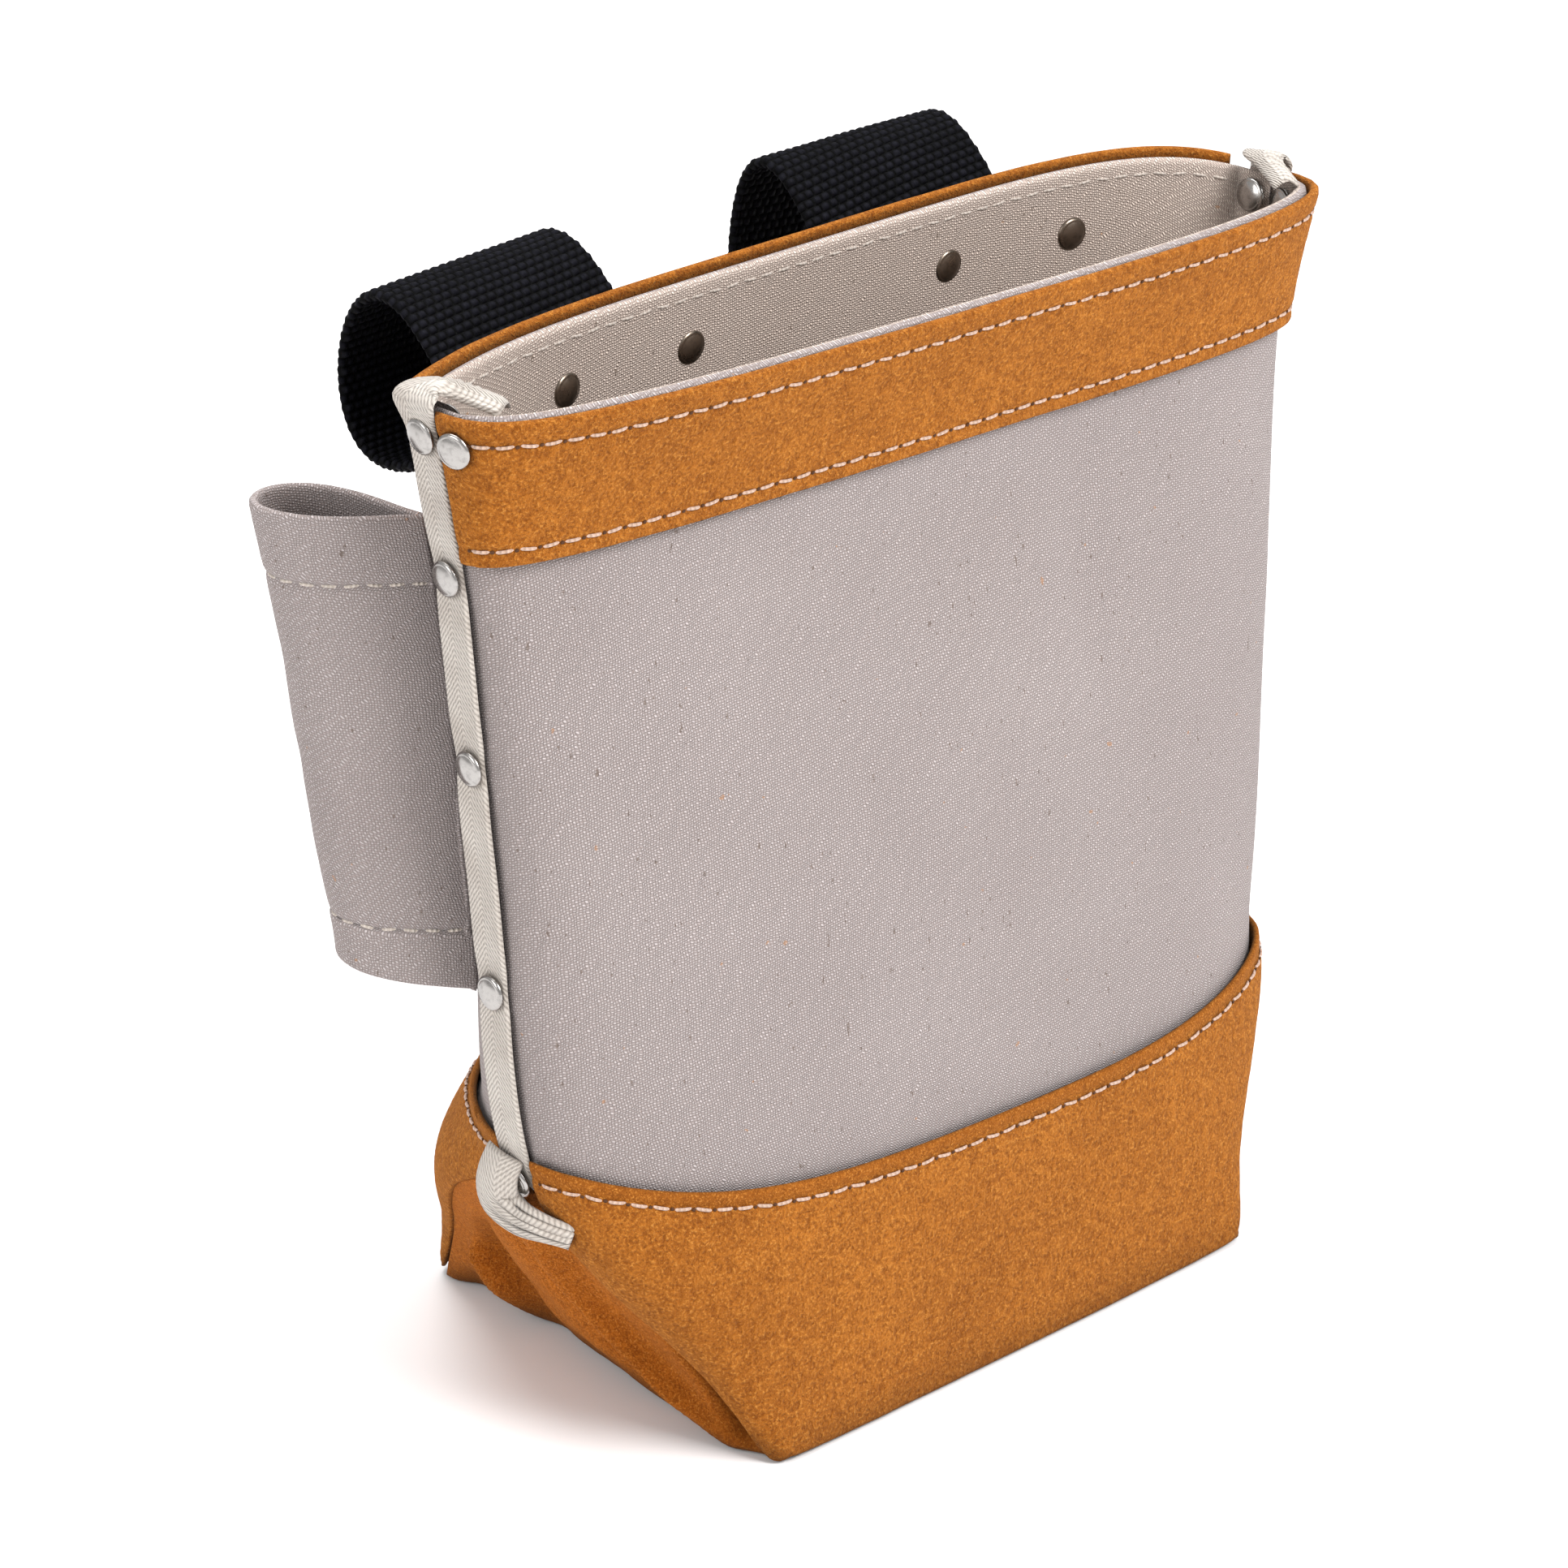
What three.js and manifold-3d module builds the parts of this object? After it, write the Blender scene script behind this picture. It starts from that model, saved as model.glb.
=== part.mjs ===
// An ironworker's canvas bolt bag: a wedge of heavy canvas with a flat suede-covered base, a suede
// band round the mouth, bound and riveted side seams, two webbing belt loops on the back and a
// canvas bull-pin sleeve at the left rear corner.
// Millimetres, +Z up. X runs across the bag, -Y is the front, +Y is the wearer's side.
// The origin is on the ground under the middle of the base.
import * as THREE from "three";
import { mergeVertices } from "three/addons/utils/BufferGeometryUtils.js";
import Module from "manifold-3d";

const wasm = await Module();
wasm.setup();

// ---- driving sizes -------------------------------------------------------------------------
const BASE_WIDTH = 140;
const BASE_DEPTH = 109;
const RIM_HEIGHT = 221;
const SEAM_END = 60; // height where the bound side seams stop and the end gussets begin
const CANVAS = 1.6;
const SUEDE = 2;
const TAPE = 1.2;
const WEBBING = 2.2;
const GAP = 0.35; // air between touching pieces
const LAP = 8; // how far the front panel laps over the back one at a side seam
const TAPE_REACH = LAP + GAP + TAPE;
const BAND_DEPTH = 29;
const LOOP_WIDTH = 50.8; // two-inch webbing
const RIVET_CAP = 3.4; // cap radius
const RIVET_RISE = 1.3; // cap height
const RIVET_SHANK = 1.3;
const SHANK_HOLE = 1.7;
const RAW_EDGE = 1.2; // how far the front panel's raw edge stands past the base's corner
const CORNER = TAPE_REACH + 0.3; // from the seam's front edge to where the back panel turns

const SKIN_IN = CANVAS / 2 + GAP; // from the middle of the canvas to the inside of its suede
const SKIN_OUT = SKIN_IN + SUEDE;
const PLY_STEP = CANVAS + GAP; // middle to middle of the two canvas plies in a seam

// ---- small helpers -------------------------------------------------------------------------
// A smooth curve through [position, value] keys.
function through(keys, at) {
  const last = keys.length - 1;
  const slope = (i) => {
    const a = keys[Math.max(i - 1, 0)];
    const b = keys[Math.min(i + 1, last)];
    return (b[1] - a[1]) / (b[0] - a[0]);
  };
  let i = 0;
  while (i < last - 1 && at > keys[i + 1][0]) i += 1;
  const span = keys[i + 1][0] - keys[i][0];
  const t = THREE.MathUtils.clamp((at - keys[i][0]) / span, 0, 1);
  const a = keys[i][1];
  const b = keys[i + 1][1];
  return (
    a * (1 - t) ** 2 * (1 + 2 * t) +
    b * t ** 2 * (3 - 2 * t) +
    span * (slope(i) * t * (1 - t) ** 2 - slope(i + 1) * t ** 2 * (1 - t))
  );
}

const mix = THREE.MathUtils.lerp;

function steps(from, to, count) {
  return Array.from({ length: count + 1 }, (_, i) => mix(from, to, i / count));
}

// ---- shape of the bag ------------------------------------------------------------------------
// Keys are [height, value]. Half width at the ends, the middle's drift to the left, the y of the
// seam tape's front edge, and the y of the panels' middles.
const HALF_WIDTH = [[0, 64.5], [20, 72.5], [SEAM_END, 96], [130, 102], [187, 106], [RIM_HEIGHT, 110.5]];
const DRIFT = [[0, 0], [SEAM_END, 2.5], [130, 1.5], [RIM_HEIGHT, 2]];
const SEAM_Y = [[0, -21], [SEAM_END, -21], [130, -17.5], [RIM_HEIGHT, -14]];
const FRONT_Y = [[0, -50.8], [SEAM_END, -46.5], [130, -38], [190, -27], [RIM_HEIGHT, -34]];
const BACK_Y = [[0, 50.8], [SEAM_END, 48], [130, 33], [187, 16.5], [RIM_HEIGHT, 11.5]];
// How square the front is at its corners, and the same for the back.
const FRONT_SQUARENESS = [[0, 4], [SEAM_END, 2.3], [130, 2.4], [RIM_HEIGHT, 3.4]];
const BACK_SQUARENESS = [[0, 4], [SEAM_END, 2.6], [RIM_HEIGHT, 4.6]];
const BACK_ROUNDNESS = [[0, 2.5], [SEAM_END, 1.4], [RIM_HEIGHT, 1]];
const BACK_RISE = 2; // how much higher the back of the rim stands, in the middle
const BACK_SKEW = 3; // and how much more of that at the right than in the middle

const BACK_SPREAD = 3; // how much wider than the front the back is at the ground

const halfWidth = (z) => through(HALF_WIDTH, z);
const middleX = (z) => -through(DRIFT, z);
const seamY = (z) => through(SEAM_Y, z);
// Share of the way down from the seam's end to the ground.
const belowSeam = (z) => THREE.MathUtils.clamp((SEAM_END - z) / SEAM_END, 0, 1);
// Where each panel's side edge is: on the seam above its end, then out to the base's corner.
const frontEdgeY = (z) => mix(seamY(z), FRONT_Y[0][1], belowSeam(z));
const backEdgeY = (z) => mix(seamY(z) + CORNER, BACK_Y[0][1], belowSeam(z) ** 0.6);
const backHalfWidth = (z) => halfWidth(z) - PLY_STEP + BACK_SPREAD * belowSeam(z);

// across runs from -1 at the left seam to 1 at the right one, in one level of the bag.
function frontPoint(across, z) {
  const side = Math.sin((across * Math.PI) / 2);
  const squareness = through(FRONT_SQUARENESS, z);
  const depth = frontEdgeY(z) - through(FRONT_Y, z);
  const bulge = Math.max(0, 1 - Math.abs(side) ** squareness) ** (1 / squareness);
  return new THREE.Vector3(middleX(z) + halfWidth(z) * side, frontEdgeY(z) - depth * bulge, z);
}

function backPoint(across, z) {
  const side = Math.sin((across * Math.PI) / 2);
  const depth = through(BACK_Y, z) - backEdgeY(z);
  const fall = Math.max(0, 1 - Math.abs(side) ** through(BACK_SQUARENESS, z));
  const bulge = fall ** (1 / through(BACK_ROUNDNESS, z));
  const lift = THREE.MathUtils.smoothstep(z, 130, RIM_HEIGHT) * (1 - side ** 8);
  const x = middleX(z) + backHalfWidth(z) * side;
  const rise = lift * (BACK_RISE + BACK_SKEW * side);
  return new THREE.Vector3(x, backEdgeY(z) + depth * bulge, z + rise);
}

// ---- sheets ----------------------------------------------------------------------------------
// A closed sheet from a grid of middle points, thick from low to high along its outward side,
// which is to the right-hand side of columns crossed with rows. Creases keep their thickness.
function sheet(grid, low, high) {
  const columns = grid.length;
  const rows = grid[0].length;
  const outward = (i, j) => {
    const up = grid[i][Math.min(j + 1, rows - 1)].clone();
    up.sub(grid[i][Math.max(j - 1, 0)]);
    const facing = (k) => grid[k + 1][j].clone().sub(grid[k][j]).cross(up).normalize();
    const before = facing(Math.max(i - 1, 0));
    const after = facing(Math.min(i, columns - 2));
    return before.clone().add(after).divideScalar(1 + before.dot(after));
  };
  const places = [];
  for (const offset of [low, high]) {
    for (let i = 0; i < columns; i += 1) {
      for (let j = 0; j < rows; j += 1) {
        const p = grid[i][j].clone().addScaledVector(outward(i, j), offset);
        places.push(p.x, p.y, p.z);
      }
    }
  }
  const at = (layer, i, j) => (layer * columns + i) * rows + j;
  const faces = [];
  const quad = (a, b, c, d) => faces.push(a, b, c, a, c, d);
  for (let i = 0; i + 1 < columns; i += 1) {
    for (let j = 0; j + 1 < rows; j += 1) {
      quad(at(1, i, j), at(1, i + 1, j), at(1, i + 1, j + 1), at(1, i, j + 1));
      quad(at(0, i, j), at(0, i, j + 1), at(0, i + 1, j + 1), at(0, i + 1, j));
    }
    const top = rows - 1;
    quad(at(0, i, 0), at(0, i + 1, 0), at(1, i + 1, 0), at(1, i, 0));
    quad(at(0, i, top), at(1, i, top), at(1, i + 1, top), at(0, i + 1, top));
  }
  for (let j = 0; j + 1 < rows; j += 1) {
    const end = columns - 1;
    quad(at(0, 0, j), at(1, 0, j), at(1, 0, j + 1), at(0, 0, j + 1));
    quad(at(0, end, j), at(0, end, j + 1), at(1, end, j + 1), at(1, end, j));
  }
  const geometry = new THREE.BufferGeometry();
  geometry.setAttribute("position", new THREE.Float32BufferAttribute(places, 3));
  geometry.setIndex(faces);
  return geometry;
}

// A flat outline in x and z (or any plane given by place) run along a straight path.
function ring(outer, inner, ends) {
  const count = outer.length;
  const places = [];
  for (const end of ends) {
    for (const loop of [outer, inner]) {
      for (const p of loop) places.push(...end(p).toArray());
    }
  }
  const at = (end, loop, i) => (end * 2 + loop) * count + (i % count);
  const faces = [];
  const quad = (a, b, c, d) => faces.push(a, b, c, a, c, d);
  for (let i = 0; i < count; i += 1) {
    for (let e = 0; e + 1 < ends.length; e += 1) {
      quad(at(e, 0, i), at(e, 0, i + 1), at(e + 1, 0, i + 1), at(e + 1, 0, i));
      quad(at(e, 1, i), at(e + 1, 1, i), at(e + 1, 1, i + 1), at(e, 1, i + 1));
    }
    const top = ends.length - 1;
    quad(at(0, 0, i), at(0, 1, i), at(0, 1, i + 1), at(0, 0, i + 1));
    quad(at(top, 0, i), at(top, 0, i + 1), at(top, 1, i + 1), at(top, 1, i));
  }
  const geometry = new THREE.BufferGeometry();
  geometry.setAttribute("position", new THREE.Float32BufferAttribute(places, 3));
  geometry.setIndex(faces);
  return geometry;
}

// A teardrop as a strap makes it when both its ends are fixed together: length along the first
// axis, the neck at the origin, the widest place two thirds of the way out.
function teardrop(length, height, start, count) {
  return Array.from({ length: count }, (_, i) => {
    const turn = (2 * Math.PI * (i + 0.5)) / count;
    const along = start + (length / 2) * (1 - Math.cos(turn));
    const half = 0.69 * height * Math.sin(turn) * Math.sin(turn / 2) ** 1.3;
    return new THREE.Vector2(along, -half);
  });
}

// ---- solids ----------------------------------------------------------------------------------
function solid(geometry) {
  const bare = geometry.index ? geometry.toNonIndexed() : geometry.clone();
  bare.deleteAttribute("normal");
  bare.deleteAttribute("uv");
  const merged = mergeVertices(bare, 1e-4);
  return new wasm.Manifold(
    new wasm.Mesh({
      numProp: 3,
      vertProperties: merged.attributes.position.array,
      triVerts: new Uint32Array(merged.index.array),
    }),
  );
}

function geometryOf(body) {
  const made = body.getMesh();
  const geometry = new THREE.BufferGeometry();
  geometry.setAttribute("position", new THREE.BufferAttribute(made.vertProperties, 3));
  geometry.setIndex(new THREE.BufferAttribute(made.triVerts, 1));
  geometry.computeVertexNormals();
  return geometry;
}

// ---- materials -------------------------------------------------------------------------------
const material = (color, roughness, metalness = 0) =>
  new THREE.MeshStandardMaterial({ color, roughness, metalness });
const canvas = material(0xcdc4be, 0.95);
const suede = material(0xc67a28, 0.95);
const tape = material(0xd6cec4, 0.9);
const webbing = material(0x14141a, 0.8);
const nickel = material(0xb4b0aa, 0.3, 0.9);

const bag = new THREE.Group();
const soft = []; // cloth and leather pieces, which the rivets are set through

function addSoft(name, body, look) {
  soft.push({ name, body, look });
}

// ---- canvas panels ---------------------------------------------------------------------------
const FLOOR_PLIES = SUEDE + GAP + CANVAS; // base suede and the canvas that lies in it
const PANEL_START = FLOOR_PLIES + 3 * GAP;
const BAND_TOP = RIM_HEIGHT - 1;
const BAND_LEVELS = [BAND_TOP - BAND_DEPTH, BAND_TOP - BAND_DEPTH / 2, BAND_TOP];
const LOW_LEVELS = [20, 36, 48]; // shared by the canvas and the suede on it
const MIDDLE_LEVELS = [95, 130, 160];
const PANEL_COLUMNS = 16;

// The lower suede's top edge: lowest right of the middle, rising to the seams.
function suedeTop(across) {
  const side = Math.sin((THREE.MathUtils.clamp(across, -1, 1) * Math.PI) / 2);
  return 54 - 2.5 * side + (10 - 2 * side) * Math.abs(side) ** 4;
}

const panelLevels = (across) => {
  const low = [PANEL_START, ...LOW_LEVELS, suedeTop(across)];
  return [...low, ...MIDDLE_LEVELS, ...BAND_LEVELS, RIM_HEIGHT];
};

// Past its seam the front panel laps straight back over the end of the back panel. Below the
// seam's end the lap is a raw edge that hangs over the gusset.
function frontColumn(across, z) {
  const edge = Math.abs(across) - 1;
  if (edge <= 0) return frontPoint(across, z);
  const p = frontPoint(Math.sign(across), z);
  return p.setY(p.y + edge * mix(RAW_EDGE, LAP, (1 - belowSeam(z)) ** 4));
}

// The back panel turns its corner and runs forward inside the front panel's lap.
function backColumn(across, z) {
  const edge = Math.abs(across) - 1;
  if (edge <= 0) return backPoint(across, z);
  const p = backPoint(Math.sign(across), z);
  return p.setY(p.y - edge * (CORNER - GAP) * mix(1, 0.2, belowSeam(z)));
}

const WITH_LAPS = [-2, ...steps(-1, 1, PANEL_COLUMNS), 2];
const BODY_ONLY = steps(-1, 1, PANEL_COLUMNS);
const BACK_REACH = [0.94, ...BODY_ONLY.slice(1, -1).reverse(), -0.94]; // clear of the tape

function frontPanel() {
  const grid = WITH_LAPS.map((a) => panelLevels(a).map((z) => frontColumn(a, z)));
  addSoft("front_canvas_panel", solid(sheet(grid, -CANVAS / 2, CANVAS / 2)), canvas);
}

function backPanel() {
  const columns = [...WITH_LAPS].reverse();
  const grid = columns.map((a) => panelLevels(a).map((z) => backColumn(a, z)));
  addSoft("back_canvas_panel", solid(sheet(grid, -CANVAS / 2, CANVAS / 2)), canvas);
}

// ---- base ------------------------------------------------------------------------------------
function basePlate(width, depth, corner, low, thickness) {
  const outline = new THREE.Shape();
  const x = width / 2;
  const y = depth / 2;
  outline.moveTo(-x + corner, -y);
  outline.lineTo(x - corner, -y);
  outline.absarc(x - corner, -y + corner, corner, -Math.PI / 2, 0);
  outline.absarc(x - corner, y - corner, corner, 0, Math.PI / 2);
  outline.absarc(-x + corner, y - corner, corner, Math.PI / 2, Math.PI);
  outline.absarc(-x + corner, -y + corner, corner, Math.PI, 1.5 * Math.PI);
  const options = { depth: thickness, bevelEnabled: false, curveSegments: 4 };
  const geometry = new THREE.ExtrudeGeometry(outline, options);
  return solid(geometry.translate(0, 0, low));
}

function base() {
  addSoft("base_suede", basePlate(BASE_WIDTH, BASE_DEPTH, 6, 0, SUEDE), suede);
  const inset = 2 * (SKIN_OUT + 3 * GAP);
  const plate = basePlate(BASE_WIDTH - inset, BASE_DEPTH - inset, 5, SUEDE + GAP, CANVAS);
  addSoft("base_canvas", plate, canvas);
}

// ---- suede on the outside ----------------------------------------------------------------------
const LOWER_START = SUEDE + GAP;

function lowerSuede() {
  const levels = (across) => [LOWER_START, PANEL_START, ...LOW_LEVELS, suedeTop(across)];
  const front = BODY_ONLY.map((a) => levels(a).map((z) => frontColumn(a, z)));
  addSoft("front_lower_suede", solid(sheet(front, SKIN_IN + GAP, SKIN_OUT + GAP)), suede);
  const back = BACK_REACH.map((a) => levels(a).map((z) => backColumn(a, z)));
  addSoft("back_lower_suede", solid(sheet(back, SKIN_IN + GAP, SKIN_OUT + GAP)), suede);
}

function topBands() {
  const front = BODY_ONLY.map((a) => BAND_LEVELS.map((z) => frontColumn(a, z)));
  addSoft("front_top_band", solid(sheet(front, SKIN_IN, SKIN_OUT)), suede);
  const back = BACK_REACH.map((a) => BAND_LEVELS.map((z) => backColumn(a, z)));
  addSoft("back_top_band", solid(sheet(back, SKIN_IN, SKIN_OUT)), suede);
}

// ---- end gussets -------------------------------------------------------------------------------
const GUSSET_LEVELS = [PANEL_START, 12, ...LOW_LEVELS];
const GUSSET_CLEAR = CANVAS / 2 + GAP;
const GUSSET_INSET = 2.4; // behind the raw edge of the front panel
const GUSSET_BULGE = 3;

// A suede triangle and its canvas lining between the panels' edges at each end of the base.
function gusset(side, word) {
  const grid = steps(0, 1, 8).map((share) =>
    GUSSET_LEVELS.map((z) => {
      const low = frontEdgeY(z) + GUSSET_CLEAR;
      const high = backColumn(side * 2, z).y - GUSSET_CLEAR;
      const bulge = Math.sin(Math.PI * share) * Math.sin((Math.PI * z) / SEAM_END);
      const spread = BACK_SPREAD * belowSeam(z) * share;
      const x = halfWidth(z) - GUSSET_INSET + spread + GUSSET_BULGE * bulge;
      return new THREE.Vector3(middleX(z) + side * x, mix(low, high, share), z);
    }),
  );
  if (side < 0) grid.reverse();
  const lining = SUEDE + GAP;
  addSoft(word + "_gusset_suede", solid(sheet(grid, -SUEDE, 0)), suede);
  addSoft(word + "_gusset_canvas", solid(sheet(grid, -lining - CANVAS, -lining)), canvas);
}

// ---- binding tape on the side seams --------------------------------------------------------------
const TAPE_TOP = RIM_HEIGHT + GAP + TAPE;
const TAPE_BOTTOM = SEAM_END - 4;

// Twill tape over the lap, turned in round its raw back edge and over the rim at its top.
function bindingTape(side, word) {
  const face = CANVAS / 2 + GAP + TAPE;
  const outline = [
    [face, GAP],
    [face, TAPE_REACH],
    [-CANVAS / 2, TAPE_REACH],
    [-CANVAS / 2, TAPE_REACH - TAPE],
    [face - TAPE, TAPE_REACH - TAPE],
    [face - TAPE, GAP],
  ];
  const low = [TAPE_BOTTOM, suedeTop(side), ...MIDDLE_LEVELS];
  const levels = [...low, ...BAND_LEVELS.slice(0, 2), TAPE_TOP];
  const places = [];
  for (const z of levels) {
    for (const [out, along] of outline) {
      places.push(middleX(z) + side * (halfWidth(z) + out), seamY(z) + along, z);
    }
  }
  const count = outline.length;
  const top = levels.length - 1;
  const faces = [];
  const at = (level, i) => level * count + (i % count);
  for (let k = 0; k < top; k += 1) {
    for (let i = 0; i < count; i += 1) {
      faces.push(at(k, i), at(k, i + 1), at(k + 1, i + 1));
      faces.push(at(k, i), at(k + 1, i + 1), at(k + 1, i));
    }
  }
  for (const [a, b, c] of [[0, 1, 4], [0, 4, 5], [1, 2, 3], [1, 3, 4]]) {
    faces.push(at(0, c), at(0, b), at(0, a), at(top, a), at(top, b), at(top, c));
  }
  if (side < 0) faces.reverse();
  const strip = new THREE.BufferGeometry();
  strip.setAttribute("position", new THREE.Float32BufferAttribute(places, 3));
  strip.setIndex(faces);

  // The tape's end turned over the rim into the bag.
  const across = face + PLY_STEP + CANVAS / 2 + GAP + TAPE;
  const fold = new THREE.BoxGeometry(across, TAPE_REACH - GAP, TAPE);
  fold.translate(
    middleX(TAPE_TOP) + side * (halfWidth(TAPE_TOP) + face - across / 2),
    seamY(TAPE_TOP) + (TAPE_REACH + GAP) / 2,
    TAPE_TOP - TAPE / 2,
  );
  addSoft(word + "_binding_tape", solid(strip).add(solid(fold)), tape);
}

// ---- belt loops ------------------------------------------------------------------------------
const LOOP_NECK_Z = 195.5;
// The webbing's middle and the middle of its two rivets, length from the neck at the webbing's two
// edges, height, and how far it tips up.
const LOOPS = [
  { word: "left", middle: -53.5, rivets: -48.5, lengths: [44, 46], height: 36, tilt: 12 },
  { word: "right", middle: 48, rivets: 54, lengths: [38, 44], height: 58, tilt: -1 },
];
const TAB_LEVELS = [LOOP_NECK_Z + 3, 214];
const TAB_RIVET_Z = 206.5;
const TAB_RIVET_SPACING = 33;
const TAB_IN = SKIN_OUT + 2.5 * GAP;
const TAB_OUT = TAB_IN + 2 * WEBBING;

const acrossAt = (x, z) => (2 / Math.PI) * Math.asin((x - middleX(z)) / backHalfWidth(z));
const backAt = (x, z) => backColumn(acrossAt(x, z), z);

function beltLoop({ word, middle, lengths, height, tilt }) {
  const edges = [middle - LOOP_WIDTH / 2, middle + LOOP_WIDTH / 2];
  const grid = steps(edges[1], edges[0], 3).map((x) => TAB_LEVELS.map((z) => backAt(x, z)));
  addSoft("belt_loop_tab_" + word, solid(sheet(grid, TAB_IN, TAB_OUT)), webbing);

  const points = 28;
  const unit = 40; // length of the teardrop before it is stretched to each edge's length
  const outer = teardrop(unit, height, 0, points);
  const wall = WEBBING;
  const inner = teardrop(unit - 2.6 * wall, height - 2 * wall, 1.6 * wall, points);
  const turn = THREE.MathUtils.degToRad(tilt);
  const ends = edges.map((x, i) => {
    const foot = backAt(x, LOOP_NECK_Z);
    const neck = new THREE.Vector2(foot.y + TAB_OUT + 2 * GAP, foot.z);
    return (p) => {
      const long = new THREE.Vector2((p.x * lengths[i]) / unit, p.y);
      const turned = long.rotateAround(new THREE.Vector2(), turn).add(neck);
      return new THREE.Vector3(x, turned.x, turned.y);
    };
  });
  addSoft("belt_loop_" + word, solid(ring(outer, inner, ends)), webbing);
}

// ---- bull-pin sleeve ---------------------------------------------------------------------------
const SLEEVE_TOP = 194;
const SLEEVE_BOTTOM = 97;
const SLEEVE_TAPER = 0.85; // size of the lower mouth against the upper one
const SLEEVE_LENGTH = 34;
const SLEEVE_OPENING = 17;
const SLEEVE_HEADING = THREE.MathUtils.degToRad(125); // from +X towards +Y
const SLEEVE_INSET = 4; // the neck's place behind the seam tape
const SLEEVE_BEHIND = 16;

function sleeve() {
  const points = 24;
  const outer = teardrop(SLEEVE_LENGTH, SLEEVE_OPENING, 0, points);
  const inner = teardrop(
    SLEEVE_LENGTH - 2.8 * CANVAS,
    SLEEVE_OPENING - 2.2 * CANVAS,
    1.9 * CANVAS,
    points,
  );
  const ends = [[SLEEVE_BOTTOM, SLEEVE_TAPER], [SLEEVE_TOP, 1]].map(([z, size]) => (p) => {
    const long = p.clone().multiplyScalar(size);
    const turned = long.rotateAround(new THREE.Vector2(), SLEEVE_HEADING);
    const neckX = middleX(z) - halfWidth(z) + SLEEVE_INSET;
    const neckY = seamY(z) + SLEEVE_BEHIND;
    return new THREE.Vector3(neckX + turned.x, neckY + turned.y, z);
  });
  addSoft("bull_pin_sleeve", solid(ring(outer, inner, ends)), canvas);
}

// ---- rivets ----------------------------------------------------------------------------------
const rivets = [];

// A rivet through the stack from low to high along its axis, domed at both ends.
function rivet(name, place, axis, low, high) {
  const shoulder = [RIVET_CAP * 0.6, RIVET_RISE * 0.8];
  const head = [[RIVET_SHANK, 0], [RIVET_CAP, 0], shoulder, [0, RIVET_RISE]];
  const foot = [...head].reverse().map(([r, h]) => new THREE.Vector2(r, low - h));
  const outline = [...foot, ...head.map(([r, h]) => new THREE.Vector2(r, high + h))];
  const geometry = new THREE.LatheGeometry(outline, 10);
  const up = new THREE.Vector3(0, 1, 0);
  const turn = new THREE.Quaternion().setFromUnitVectors(up, axis.clone().normalize());
  const hole = new THREE.CylinderGeometry(SHANK_HOLE, SHANK_HOLE, high - low + 3, 8);
  hole.translate(0, (high + low) / 2, 0).applyQuaternion(turn);
  hole.translate(place.x, place.y, place.z);
  rivets.push({ name, geometry, place, turn, hole: solid(hole) });
}

const TAPE_RIVET_LEVELS = [215, 187, 149, 103, SEAM_END + 3];
const RIVET_CLEAR = 0.8;

// Through the tape and both plies of the lap, with its inner head inside the bag.
function tapeRivets(side, word) {
  TAPE_RIVET_LEVELS.forEach((z, i) => {
    const wall = (height) => middleX(height) + side * halfWidth(height);
    const axis = new THREE.Vector3(10, 0, wall(z - 5) - wall(z + 5)).multiplyScalar(side);
    const place = new THREE.Vector3(wall(z), seamY(z) + LAP / 2, z);
    const inside = -PLY_STEP - CANVAS / 2 - RIVET_CLEAR;
    const outside = CANVAS / 2 + GAP + TAPE + RIVET_CLEAR;
    rivet(word + "_tape_rivet_" + (i + 1), place, axis, inside, outside);
  });
}

// A rivet square to a panel's facet, through the canvas and what lies on it.
function panelRivet(name, column, across, z, outside) {
  const facet = 2 / PANEL_COLUMNS;
  const start = Math.floor((across + 1) / facet) * facet - 1;
  const place = column(start, z).lerp(column(start + facet, z), (across - start) / facet);
  const beside = column(start + facet, z).sub(column(start, z));
  const above = column(start, z + 2).sub(column(start, z - 2));
  const axis = beside.cross(above);
  if (column === backColumn) axis.negate();
  rivet(name, place, axis, -CANVAS / 2 - RIVET_CLEAR, outside + RIVET_CLEAR);
}

function allRivets() {
  tapeRivets(-1, "left");
  tapeRivets(1, "right");
  panelRivet("left_band_rivet", frontColumn, -0.94, 214.5, SKIN_OUT);
  panelRivet("right_band_rivet", frontColumn, 0.94, 214.5, SKIN_OUT);
  for (const { word, rivets: between } of LOOPS) {
    for (const [part, step] of [["a", -1], ["b", 1]]) {
      const x = between + (step * TAB_RIVET_SPACING) / 2;
      const across = acrossAt(x, TAB_RIVET_Z);
      panelRivet("belt_loop_rivet_" + word + "_" + part, backColumn, across, TAB_RIVET_Z, TAB_OUT);
    }
  }
}

// ---- build ------------------------------------------------------------------------------------
frontPanel();
backPanel();
base();
lowerSuede();
topBands();
for (const [side, word] of [[-1, "left"], [1, "right"]]) {
  gusset(side, word);
  bindingTape(side, word);
}
LOOPS.forEach(beltLoop);
sleeve();
allRivets();

for (const { name, body, look } of soft) {
  let cut = body;
  for (const { hole } of rivets) cut = cut.subtract(hole);
  const mesh = new THREE.Mesh(geometryOf(cut), look);
  mesh.name = name;
  bag.add(mesh);
}

for (const { name, geometry, place, turn } of rivets) {
  const mesh = new THREE.Mesh(geometry, nickel);
  mesh.name = name;
  mesh.position.copy(place);
  mesh.quaternion.copy(turn);
  bag.add(mesh);
}

export default bag;
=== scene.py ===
import math

import bpy
import numpy as np
from mathutils import Matrix, Vector, noise


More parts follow.
